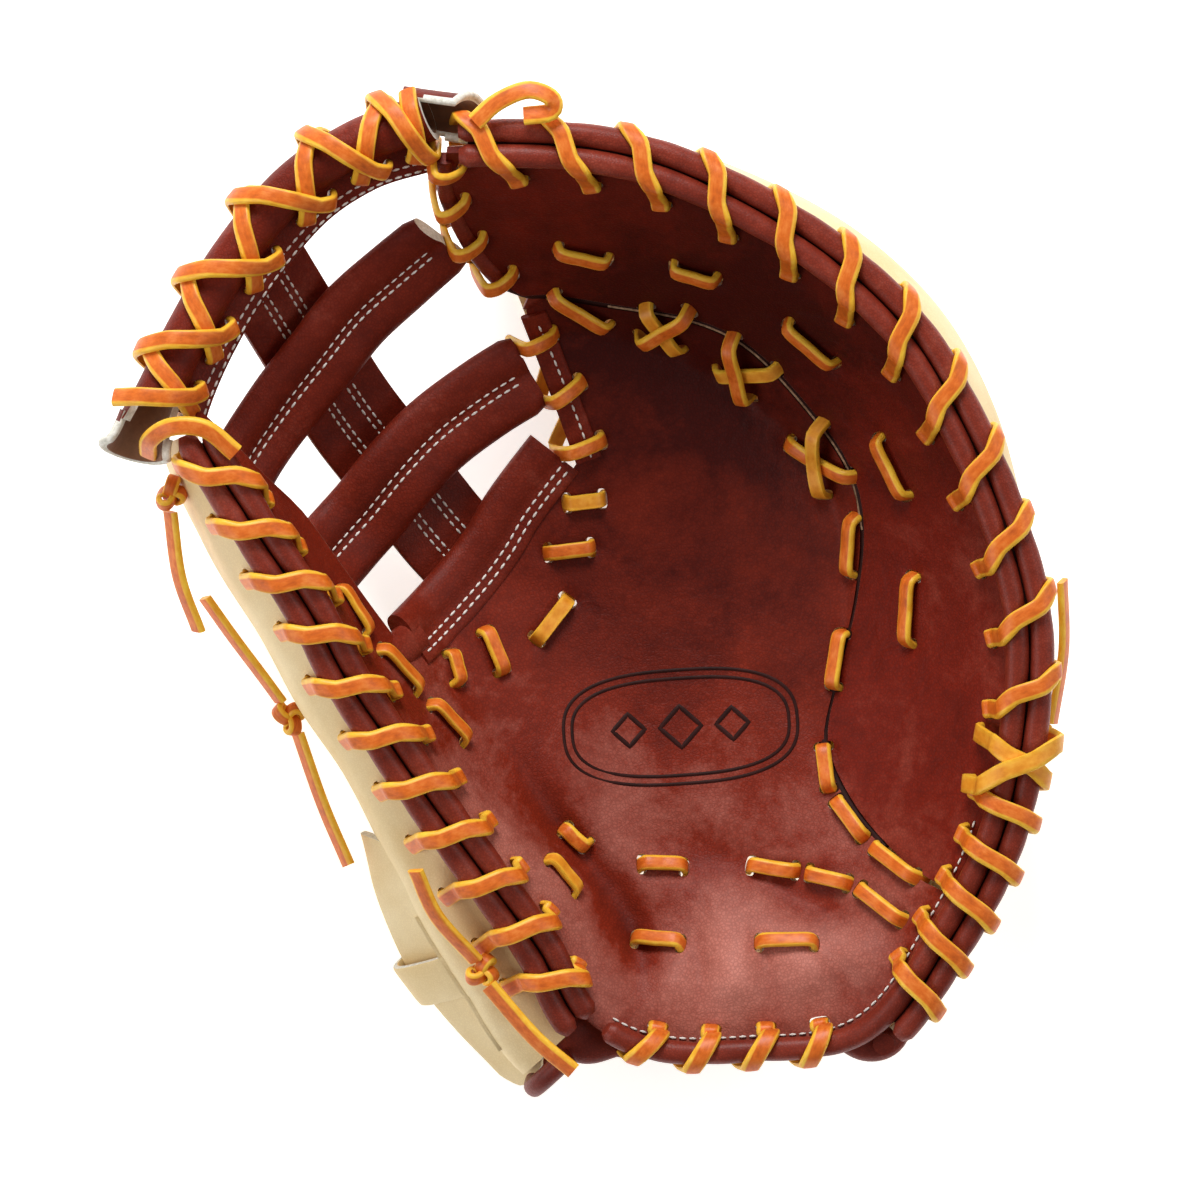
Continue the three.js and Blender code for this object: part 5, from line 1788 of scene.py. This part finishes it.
# The base bar's section in millimetres: a roll, and a flap that is sewn down on the palm's edge.
BASE_SECTION = table(
    "across above",
    (-7.6, 0.2),
    (-7.1, 2.0),
    (-5.2, 3.5),
    (-2.2, 4.1),
    (0.8, 3.7),
    (3.2, 2.8),
    (5.4, 2.35),
    (8.4, 2.3),
    (10.8, 2.15),
    (11.3, 1.6),
    (10.6, 1.0),
    (6.0, 0.6),
    (3.6, -1.0),
    (1.0, -2.8),
    (-2.2, -3.4),
    (-5.4, -2.9),
    (-7.2, -1.5),
)
rough, rough_ups = web_line(BASE_BAR, 7)
base_points = smooth_line(rough, 10)
base_ups = [up.normalized() for up in smooth_line(rough_ups, 10)]
base_bar = swept_piece(
    "web_base_bar_rolled",
    base_points,
    base_ups,
    rounded_section(BASE_SECTION),
    [WEB_LEATHER, BROWN_EDGE],
    ["web_base_bar"],
)
raw_faces(base_bar, lambda face: is_end(face) and face.center.y > 0)
cut(base_bar, "DIFFERENCE", cutter)

# The bar's lower end, tucked under the thumb side of the palm.
TUCK = table(
    "x y sink",
    (-19.9, -4.3, 0.1),
    (-21.2, -5.6, 0.25),
    (-22.6, -7.1, 0.75),
    (-24.2, -8.8, 1.5),
)
points, ups = web_line(TUCK, 24, off=-2.2)
swept_piece("web_base_bar_tuck", points, ups, oval(11.6, 7.8, 24, 2.4), [WEB_LEATHER])

points, ups = web_line(POST, 90)
section = oval(WEB_POST_WIDTH, WEB_POST_THICKNESS, 32, 9)
swept_piece(
    "web_post_leather", points, ups, section, [WEB_LEATHER], ["web_post"]
)


def top_bar_stations(steps):
    """Stations of the top bar, which flares a little towards both ends."""
    flare = along_table(TOP_BAR, "flare")
    ups = [Vector((0.3, -0.3, 1)).normalized()] * (steps + 1)
    scales = [flare(i / steps) for i in range(steps + 1)]
    return stations_of(line_in_air(TOP_BAR, steps), ups, scales)


# The tube lies beside the bar's centre line, and its flange on the line's other side.
TUBE_CENTRE = TOP_BAR_FLANGE / 2
TUBE_RADIUS = TOP_BAR_DIAMETER / 2
FLANGE_EDGE = TUBE_CENTRE - TUBE_RADIUS - TOP_BAR_FLANGE
FLANGE_HOLE = TUBE_CENTRE - TUBE_RADIUS - 3.4
ROUND_THE_TUBE = (125, 85, 45, 5, -35, -75, -110)
top_stations = top_bar_stations(120)


def on_top_bar(share, across, above, turn=90):
    """Point beside the top bar's centre line, and a direction round it."""
    k = min(max(share, 0), 1) * (len(top_stations) - 1)
    i = min(int(k), len(top_stations) - 2)
    a, b = top_stations[i], top_stations[i + 1]
    scale = blend(a[3], b[3], k - i)
    side = a[1].lerp(b[1], k - i).normalized()
    up = a[2].lerp(b[2], k - i).normalized()
    point = a[0].lerp(b[0], k - i) + side * (across * scale) + up * (above * scale)
    return point, side * math.cos(math.radians(turn)) + up * math.sin(math.radians(turn))


def wound_lace(first, last, turns, lean, lift):
    """A lace wound round the top bar: over the tube, under it and up through the flange."""
    points, ups, through = [], [], []
    step = (last - first) / turns
    reach = TUBE_RADIUS + lift

    def add(*given):
        point, up = on_top_bar(*given)
        points.append(point)
        ups.append(up)

    for i in range(turns + 1):
        start = first + step * i
        through.append((len(points), len(points) + 1))
        add(start, FLANGE_HOLE, -TOP_BAR_WALL - lift)
        add(start, FLANGE_HOLE, TOP_BAR_WALL + lift)
        for k, turn in enumerate(ROUND_THE_TUBE):
            leant = (k + 1) / 4 * lean if turn >= 0 else lean + (k - 3) / 4 * (step - lean)
            share = start + leant
            turned = math.radians(turn)
            if i < turns or turn >= 0:
                add(share, TUBE_CENTRE + reach * math.cos(turned), reach * math.sin(turned), turn)
    return ribbon(points, ups, through)


slots_before = len(slots)
WOUND = table(
    "node first last turns lean lift",
    ("web_top_lace_low", 0.88, 0.17, 5, -0.1, LACE_LIFT + 2.3 * GAP),
    ("web_top_lace_high", 0.1, 0.81, 5, 0.11, LACE_LIFT + LACE_THICKNESS + 4.2 * GAP),
)
for lace in WOUND:
    lace_piece(lace.node, lace_mesh(wound_lace(*lace[1:])))


def top_bar():
    """A rolled tube with a stitched flange along its inner side, open at both ends."""
    ring = [(TUBE_CENTRE + a, b) for a, b in oval(TOP_BAR_DIAMETER, TOP_BAR_DIAMETER, 40)]
    tube = fresh_mesh()
    tube_of(tube, top_stations, ring)
    finish = [WEB_LEATHER, PALE_EDGE, TAN_SUEDE]
    made = piece("web_top_bar_rolled", tube, finish, ["web_top_bar"])
    raw_faces(made, is_end)
    flange = fresh_mesh()
    middle = (FLANGE_EDGE + TUBE_CENTRE - TUBE_RADIUS + 1) / 2
    width = TUBE_CENTRE - TUBE_RADIUS + 1 - FLANGE_EDGE
    section = [(middle + a, b) for a, b in oval(width, 2 * TOP_BAR_WALL, 28, 5)]
    tube_of(flange, top_stations[13:-13], section)
    flange = scratch_object("flange", flange)
    cut(made, "UNION", flange)
    bore = fresh_mesh()
    first, second, *_, last_but_one, last = top_stations
    before_first = (first[0] + (first[0] - second[0]), *first[1:])
    after_last = (last[0] + (last[0] - last_but_one[0]), *last[1:])
    longer = [before_first, *top_stations[1:-1], after_last]
    inner = TOP_BAR_DIAMETER - 2 * TOP_BAR_WALL
    tube_of(bore, longer, [(TUBE_CENTRE + a, b) for a, b in oval(inner, inner, 32)])
    bore = scratch_object("bore", bore)
    bore.data.materials.append(TAN_SUEDE)
    cut(made, "DIFFERENCE", bore)
    holes = slot_cutter("top_slots", slots[slots_before:], 2 * GAP, 3 * GAP)
    cut(made, "DIFFERENCE", holes)
    # The upper half of the tube is cut away at the left end, where it opens into its tongue.
    cap = fresh_mesh()
    left, right, bottom, top = -14 + TUBE_CENTRE, 14 + TUBE_CENTRE, 2.2, 16
    tube_of(cap, longer[-17:], [(left, bottom), (right, bottom), (right, top), (left, top)])
    cap = scratch_object("end_cap", cap)
    cap.data.materials.append(WEB_LEATHER)
    cap.data.materials.append(PALE_EDGE)
    raw_faces(cap, lambda face: True)
    cut(made, "DIFFERENCE", cap)
    for helper in (flange, bore, holes, cap):
        bpy.data.objects.remove(helper)
    return made


top_bar()


def open_end(name, end, inner, reach, first_turn, last_turn, flare, lean):
    """The tongue that the rolled bar ends in: leather outside, suede inside, a pale raw edge.

    end and inner are the stations it points away from, and lean turns it aside."""
    a, b = top_stations[end], top_stations[inner]
    away = ((a[0] - b[0]).normalized() + Vector(lean)).normalized()
    centre = a[0] + a[1] * (TUBE_CENTRE * a[3])
    radius = TUBE_RADIUS * a[3]

    def face(u, v):
        turn = math.radians(blend(first_turn, last_turn, u))
        wide = radius * (1 + flare * v * v)
        long = reach * (v - 0.2) * (1 - 0.34 * (2 * u - 1) ** 2 * v)
        return centre + away * long + (a[1] * math.cos(turn) + a[2] * math.sin(turn)) * wide

    bm = fresh_mesh()
    sheet_of(bm, 40, 26, face)
    face_outwards(bm, face(0.5, 0.5), face(0.5, 0.5) - centre)
    made = piece(name, bm, [WEB_LEATHER, TAN_SUEDE, PALE_EDGE], outwards=False)
    thickened(made, TOP_BAR_WALL, material_offset=1, material_offset_rim=2)
    rim = [face(0, 0.3 + 0.07 * k) for k in range(10)]
    rim += [face(k / 24, 1) for k in range(25)]
    rim += [face(1, 0.93 - 0.07 * k) for k in range(10)]
    ups = [(at - centre).normalized() for at in rim]
    swept_piece(name + "_edge", rim, ups, oval(2.4, 2.4, 10), [PALE_EDGE])


TONGUES = table(
    "name end inner reach first_turn last_turn flare lean",
    ("top_bar_left_tongue", -1, -4, 13, 178, 372, 0.2, (0, 0, 0)),
    ("top_bar_right_tongue", 0, 3, 22, 188, 385, 0.05, (0.1, -0.5, 0)),
)
for tongue in TONGUES:
    open_end(*tongue)


# Wrist

def strap_face(along, across):
    """The strap over the back of the wrist: its ends lie on the backs, its middle hangs clear."""
    thumb, finger = blend(236, 259, across), blend(-43, -57, across)
    line = [back_face(thumb, t) + back_normal(thumb, t) * (3 * GAP) for t in (0.2, 0.34, 0.46)]
    middle = place(blend(3, 6, across), blend(-30, -41, across))
    line.append(Vector((middle.x, middle.y, 7)))
    line += [back_face(finger, t) + back_normal(finger, t) * (LEATHER + 4 * GAP) for t in (0.48, 0.36, 0.24)]
    k = along * (len(line) - 1)
    i = min(int(k), len(line) - 2)
    a, b, c, d = (line[min(max(j, 0), len(line) - 1)] for j in (i - 1, i, i + 1, i + 2))
    t = k - i
    return (
        b * (1 + t * t * (1.5 * t - 2.5))
        + a * (t * (t - 0.5 - 0.5 * t * t))
        + c * (t * (0.5 + 2 * t - 1.5 * t * t))
        + d * (0.5 * t * t * (t - 1))
    )


bm = fresh_mesh()
sheet_of(bm, 110, 14, strap_face)
finish = [BACK_LEATHER, PALE_EDGE]
strap = piece("wrist_strap_leather", bm, finish, ["wrist_strap"], outwards=False)
thickened(strap, LEATHER)


def wrist_binding(node, bearing, beyond):
    """The rolled edge of a back at the wrist, from the welts down and under the hand."""
    points, ups = [], []
    steps = 60
    along = rim_frame(bearing)[1]
    along = Vector((along.x, along.y, 0)).normalized()
    for i in range(steps + 1):
        t = 0.05 + 0.85 * i / steps
        points.append(back_face(bearing, t) + along * beyond)
        ups.append(normal_of(back_face, bearing, t, 1, 0.01))
    section = oval(6.4, 6.4, 18, 2.2)
    return swept_piece(node + "_rolled", points, ups, section, [WELT_LEATHER], [node])


wrist_binding("thumb_wrist_binding", THUMB[1], 5)
wrist_binding("finger_wrist_binding", FINGERS[1], -5)

# The strap's free end, along the outside of the thumb's heel and through its keeper.
STRAP_END = table(
    "x y up",
    (-22.6, -25.8, 0.54),
    (-21.2, -31.0, 0.47),
    (-18.9, -36.2, 0.4),
    (-16.7, -39.4, 0.36),
    (-13.3, -43.2, 0.34),
    (-9.8, -46.6, 0.34),
    (-7.0, -49.4, 0.35),
)
STRAP_WIDTH = 25


def strap_end_line(steps):
    """Stations of the strap's free end: its side is along its width, and its tip is rounded."""
    points = line_in_air(STRAP_END, steps)
    ups = []
    for i in range(len(points)):
        along = points[min(i + 1, steps)] - points[max(i - 1, 0)]
        outward = Vector((along.y, -along.x, 0)).normalized()
        if outward.x > 0:
            outward = -outward
        ups.append((outward * 0.8 + UP * 0.6).normalized())
    scales = [min(1, 0.5 + 0.5 * math.sqrt((steps - i) / 7)) for i in range(steps + 1)]
    return stations_of(points, ups, scales)


stations = strap_end_line(60)
strap_side = stations[30][1]
bm = fresh_mesh()
tube_of(bm, stations, oval(STRAP_WIDTH, LEATHER, 36, 8))
strap_end = piece("wrist_strap_end", bm, finish)
raw_faces(strap_end, lambda face: abs(face.normal.dot(strap_side)) > 0.75 or is_end(face))

# The keeper is a band round the strap's free end, near the middle of its length.
KEEPER_STEPS = 48
point, side, up, _ = stations[29]
along = side.cross(up)
band = []
for i in range(KEEPER_STEPS + 1):
    turn = i / KEEPER_STEPS * 2 * math.pi
    c, s = math.cos(turn), math.sin(turn)
    across = math.copysign(abs(c) ** 0.6, c) * (STRAP_WIDTH / 2 + 2.6)
    above = math.copysign(abs(s) ** 0.8, s) * 4.6
    band.append(point + side * across + up * above)
ring = []
for i in range(KEEPER_STEPS + 1):
    onward = (band[(i + 1) % KEEPER_STEPS] - band[(i - 1) % KEEPER_STEPS]).normalized()
    ring.append((band[i], along, along.cross(onward).normalized(), 1))
bm = fresh_mesh()
tube_of(bm, ring, oval(15, 2.4, 20, 6))
keeper = piece("strap_keeper_leather", bm, finish, ["strap_keeper"])
raw_faces(keeper, lambda face: abs(face.normal.dot(along)) > 0.8)

# The heel's leather is folded under at the finger side and at the thumb side.
FINGER_FOLD = table(
    "x y up",
    (25.2, -44.6, 0.5),
    (28.4, -45.8, 0.485),
    (31.2, -45.6, 0.48),
    (33.4, -43.2, 0.5),
)
THUMB_FOLD = table(
    "x y up",
    (-4.6, -44.4, 0.47),
    (-1.8, -45.4, 0.45),
    (1.3, -45.9, 0.44),
    (4.4, -46.4, 0.44),
)


def folded_under(name, rows, width, steps=24):
    """A thick fold of the heel's leather under its rolled edge."""
    points = line_in_air(rows, steps)
    scales = [0.55 + 0.45 * math.sin(math.pi * min(1, (i + 2) / 20)) for i in range(steps + 1)]
    section = oval(width, 9, 20, 2.2)
    swept_piece(name, points, [UP] * len(points), section, [WELT_LEATHER], scales=scales)


folded_under("heel_corner_fold", FINGER_FOLD, 13)
folded_under("heel_thumb_fold", THUMB_FOLD, 17)


# Knots, loops and free ends

def knot(name, x, y, up, turn, tip):
    """A lace end tied into an overhand knot: a small trefoil of flat lace drawn tight."""
    at = place(x, y)
    centre = Vector((at.x, at.y, up * RIM_HEIGHT))
    spin = Matrix.Rotation(math.radians(turn), 3, "Z") @ Matrix.Rotation(math.radians(tip), 3, "X")
    size = KNOT_DIAMETER / 2
    points, ups = [], []
    for i in range(73):
        t = i / 72 * 2 * math.pi
        loop = Vector((
            (math.sin(t) + 1.55 * math.sin(2 * t)) * 0.44,
            (math.cos(t) - 1.55 * math.cos(2 * t)) * 0.34,
            -math.sin(3 * t) * 0.36,
        )) * size
        points.append(centre + spin @ loop)
        ups.append(spin @ (loop + Vector((0, 0, 0.25 * size))).normalized())
    bm = fresh_mesh()
    tube_of(bm, stations_of(points, ups), lace_section(TIED_LACE_WIDTH), LACE_SHADES)
    return lace_piece(name, bm, "_tied")


for name, spec in KNOTS.items():
    knot(name, *spec)

LOOPS = {
    "finger_corner_loop": (
        table(
            "x y up",
            (-13.2, 46.0, 1.06),
            (-10.8, 48.0, 1.07),
            (-7.6, 49.2, 1.08),
            (-5.1, 48.4, 1.08),
            (-5.2, 47.0, 1.07),
            (-8.0, 46.6, 1.055),
        ),
        (0.2, 0.3, 1),
    ),
    "thumb_corner_loop": (
        table(
            "x y up",
            (-47.8, 12.9, 0.87),
            (-47.5, 14.4, 0.97),
            (-45.2, 15.7, 1.02),
            (-41.6, 15.5, 1.026),
            (-38.4, 13.1, 1.011),
        ),
        (-0.2, -0.2, 1),
    ),
    "thumb_side_lace": (
        table(
            "x y up",
            (-42.0, -1.3, 0.6),
            (-39.0, -5.3, 0.57),
            (-36.0, -9.1, 0.53),
            (-34.0, -11.7, 0.5),
        ),
        (-0.8, -0.5, 0.5),
    ),
}
TAILS = {
    "right_tail": (
        table("x y up", (48.0, -13.9, 0.67), (49.2, -6.5, 0.69), (49.0, 0.4, 0.75)),
        (1, 0, 0.4),
    ),
    "left_tail": (
        table("x y up", (-45.5, 7.3, 0.785), (-44.6, 0.8, 0.74), (-42.6, -4.6, 0.68)),
        (-0.8, -0.2, 0.6),
    ),
    "thumb_side_tail": (
        table("x y up", (-32.2, -14.9, 0.485), (-29.6, -22.0, 0.46), (-26.8, -28.2, 0.46)),
        (-0.8, -0.4, 0.5),
    ),
    "wrist_tail_up": (
        table("x y up", (-13.2, -37.7, 0.615), (-17.4, -33.2, 0.68), (-19.6, -28.6, 0.74)),
        (-0.5, -0.4, 0.7),
    ),
    "wrist_tail_down": (
        table("x y up", (-11.8, -40.2, 0.605), (-7.0, -45.4, 0.6), (-2.8, -48.8, 0.6)),
        (-0.4, -0.4, 0.8),
    ),
}

for name, (rows, face) in LOOPS.items():
    lace_piece(name, lace_mesh(lace_along(rows, face), 1))
for name, (rows, face) in TAILS.items():
    stations = lace_along(rows, face, 40)
    made = lace_piece(name, lace_mesh(stations, 1))
    path = [(station[0] + SHIFT) * MM for station in stations]
    length = sum((b - a).length for a, b in zip(path, path[1:]))
    tuple(path[0])
    [tuple(point) for point in path]


# Stitches

def stitch_row(name, points, ups, thread=WHITE_THREAD, offset=0):
    """A row of sewn stitches laid end to end along a line, or beside it."""
    bm = fresh_mesh()
    lengths = [(b - a).length for a, b in zip(points, points[1:])]
    total = sum(lengths)
    count = max(1, round(total / STITCH_PITCH))
    pitch = total / count
    walked, i = 0, 0
    for k in range(count):
        wanted = (k + 0.5) * pitch
        while i < len(lengths) - 1 and walked + lengths[i] < wanted:
            walked += lengths[i]
            i += 1
        t = (wanted - walked) / lengths[i]
        at = points[i].lerp(points[i + 1], t)
        along = (points[i + 1] - points[i]).normalized()
        up = ups[i].normalized()
        side = along.cross(up).normalized()
        up = side.cross(along).normalized()
        at = at + side * offset
        half_length = pitch * 0.5 * STITCH_LENGTH / STITCH_PITCH * 1.12
        size = Matrix.Diagonal((half_length, THREAD * 0.55, THREAD * 0.5, 1))
        turn = Matrix((
            (along.x, side.x, up.x, at.x),
            (along.y, side.y, up.y, at.y),
            (along.z, side.z, up.z, at.z),
            (0, 0, 0, 1),
        ))
        bmesh.ops.create_uvsphere(bm, u_segments=6, v_segments=5, radius=1, matrix=turn @ size)
    return piece(name, bm, [thread], sharp=SHARP_ON_THREAD)


def double_row(name, points, ups, apart=2.6):
    """Two rows of stitches side by side."""
    for side in (-1, 1):
        stitch_row(name + ("_left" if side < 0 else "_right"), points, ups, offset=side * apart / 2)


# Where the stitches run on the base bar's flap, and on the post from its middle, in millimetres.
ON_FLAP_ACROSS = 6.9
ON_FLAP_ABOVE = 2.3
ON_POST_ACROSS = 4.2

for name, rows in (("upper_bar_stitches", UPPER_BAR), ("lower_bar_stitches", LOWER_BAR)):
    points, ups = web_line(rows, 80, above=0.3 * WEB_BAR_THICKNESS)
    double_row(name, points[6:-4], ups[6:-4])
base_stations = stations_of(base_points, base_ups)
points = [point + side * ON_FLAP_ACROSS + up * ON_FLAP_ABOVE for point, side, up, _ in base_stations]
double_row("base_bar_stitches", points[2:-2], base_ups[2:-2])
for pair in (-1, 1):
    points, ups = web_line(POST, 90, off=pair * ON_POST_ACROSS, above=WEB_POST_THICKNESS / 2)
    double_row("post_stitches_" + ("low" if pair < 0 else "high"), points[2:-2], ups[2:-2], 2.2)
points, ups = [], []
for i in range(120):
    share = 0.125 + 0.75 * i / 119
    point, up = on_top_bar(share, FLANGE_EDGE + 2.6, TOP_BAR_WALL)
    points.append(point)
    ups.append(up)
double_row("top_bar_stitches", points, ups)
points, ups = along_bowl(BINDING_STITCHES, 1.5, 10)
stitch_row("palm_binding_stitches", points, ups)

points, ups = [], []
for i in range(121):
    inset = blend(9.2, 8.4, min(1, i / 70))
    point, normal = in_from_edge(blend(-29, -95, i / 120), inset - LEATHER - GAP)
    points.append(point + normal * 0.35)
    ups.append(normal)
stitch_row("heel_stitches", points, ups)


# A plain pressed mark in the palm: two lines round a stadium with three diamonds

MARK = (8.6, -14.3)
MARK_SIZE = (36, 17.5)
MARK_TURN = math.radians(4)


def in_mark(across, above, lift):
    """Point of the palm inside the pressed mark, in millimetres from its middle."""
    at = place(*MARK)
    x = at.x + across * math.cos(MARK_TURN) - above * math.sin(MARK_TURN)
    y = at.y + across * math.sin(MARK_TURN) + above * math.cos(MARK_TURN)
    point, normal = on_bowl(x / MITT_WIDTH * 100, y / MITT_LENGTH * 100)
    return point + normal * lift, normal


def pressed_line(name, outline, width=1.1):
    """A closed line pressed into the palm."""
    made = [in_mark(x, y, 0.02) for x, y in outline]
    points, ups = [point for point, _ in made], [normal for _, normal in made]
    stations = []
    for i, point in enumerate(points):
        along = (points[(i + 1) % len(points)] - points[i - 1]).normalized()
        side = along.cross(ups[i]).normalized()
        stations.append((point, side, ups[i], 1))
    stations.append(stations[0])
    bm = fresh_mesh()
    tube_of(bm, stations, oval(width, 0.7, 8))
    return piece(name, bm, [DARK_STAMP_AND_SHADE])


for name, inset in (("mark_outer_line", 0), ("mark_inner_line", 2.6)):
    half_width, half_height = MARK_SIZE[0] - inset, MARK_SIZE[1] - inset
    pressed_line(name, oval(2 * half_width, 2 * half_height, 120, 2.7))
for i in (-1, 0, 1):
    size = 6.4 if i == 0 else 5
    corners = [(size, 0), (0, size), (-size, 0), (0, -size), (size, 0)]
    outline = []
    for (x0, y0), (x1, y1) in zip(corners, corners[1:]):
        outline += [(blend(x0, x1, k / 6) + i * 16, blend(y0, y1, k / 6)) for k in range(6)]
    pressed_line(f"mark_diamond_{i + 2}", outline, 1.5)


# Laces that cross at the corner, where one length ends and the next begins

def crossing_lace(name, inner, outer, lift):
    """One pass over both welts, from a hole in the palm to a hole in the back."""
    reach = WELT_DIAMETER / 2 + lift
    hole, hole_normal = palm_hole(inner, 1.1)
    out_hole, out_normal = back_hole(outer)
    points = [out_hole - out_normal * 2, out_hole + out_normal * lift]
    on_top = round_welts(OVER_WELTS, reach, lambda share: blend(outer, inner, share))
    points += [*on_top[0], hole + hole_normal * (lift + GAP), hole - hole_normal * 2.5]
    ups = [out_normal, out_normal, *on_top[1], hole_normal, hole_normal]
    return piece(name, lace_mesh(ribbon(points, ups)), [LACE_LEATHER], sharp=SHARP_ON_LACE)


crossing_lace("corner_crossing_under", -16.8, -21.6, LACE_LIFT + 2 * GAP)
crossing_lace("corner_crossing_over", -24.4, -15.4, LACE_LIFT + LACE_THICKNESS + 3 * GAP)


# Seams of the backs

def back_seam(name, bearing, upper, lower):
    """A rolled seam down a back, with a row of stitches on either side. It starts below the
    back's widest place, so that it doesn't stand out past it seen from above."""
    points, ups = [], []
    for i in range(49):
        t = blend(upper, lower, i / 48)
        points.append(back_face(bearing, t) + back_normal(bearing, t) * 0.5)
        ups.append(back_normal(bearing, t))
    swept_piece(name + "_roll", points, ups, oval(2.6, 2.4, 12), [BACK_LEATHER])
    for side in (-1, 1):
        stitch_row(f"{name}_row_{side + 2}", points, ups, TAN_THREAD, offset=side * 3.4)


for bearing in (88, 52, 14, -22):
    back_seam(f"finger_back_seam_{bearing % 360}", bearing, 0.37, 0.66)
for bearing in (188, 222):
    back_seam(f"thumb_back_seam_{bearing}", bearing, 0.34, 0.56)


# The stage

bpy.data.objects.remove(cutter)


def stage_light(name, x, y, z, size, power):
    """A soft lamp in metres that looks at the middle of the mitt."""
    lamp = bpy.data.lights.new(name, "AREA")
    lamp.size = size
    lamp.energy = power
    made = bpy.data.objects.new(name, lamp)
    bpy.context.scene.collection.objects.link(made)
    made.location = (x, y, z)
    made.rotation_euler = (Vector((0, 0, 0.05)) - made.location).to_track_quat("-Z", "Y").to_euler()
    return made


bm = bmesh.new()
bmesh.ops.create_grid(bm, x_segments=1, y_segments=1, size=6)
floor = new_object("floor", bm)
paper, paper_tree = new_material("light_table")
paper_shader = add_node(
    paper_tree,
    "BsdfPrincipled",
    {"Base Color": "ffffff", "Roughness": 0.9, "Emission Color": "ffffff", "Emission Strength": 0.6},
)
add_node(paper_tree, "OutputMaterial", {"Surface": paper_shader.outputs["BSDF"]})
floor.data.materials.append(paper)

world = bpy.data.worlds.new("studio")
world.use_nodes = True
background = world.node_tree.nodes["Background"]
background.inputs["Color"].default_value = linear("ffffff")
background.inputs["Strength"].default_value = 0.2
bpy.context.scene.world = world
stage_light("key", -0.25, 1.7, 1.5, 0.9, 46)
stage_light("right_fill", 1.7, 0.2, 1.5, 1.2, 10)
stage_light("left_fill", -1.7, -0.7, 1.3, 1.2, 15)

# The camera looks straight down from afar, and the picture's middle lies a little towards the heel.
CAMERA_HEIGHT = 6
PICTURE_SIDE = 0.3716
PICTURE_MIDDLE = -0.004645
SENSOR = 36
camera_data = bpy.data.cameras.new("camera")
camera_data.lens = SENSOR * CAMERA_HEIGHT / PICTURE_SIDE
camera_data.sensor_width = SENSOR
camera_data.clip_end = 20
camera_data.dof.use_dof = False
camera = bpy.data.objects.new("camera", camera_data)
bpy.context.scene.collection.objects.link(camera)
camera.location = (SHIFT.x * MM, SHIFT.y * MM + PICTURE_MIDDLE, CAMERA_HEIGHT)
bpy.context.scene.camera = camera
bpy.context.scene.view_settings.view_transform = "Standard"
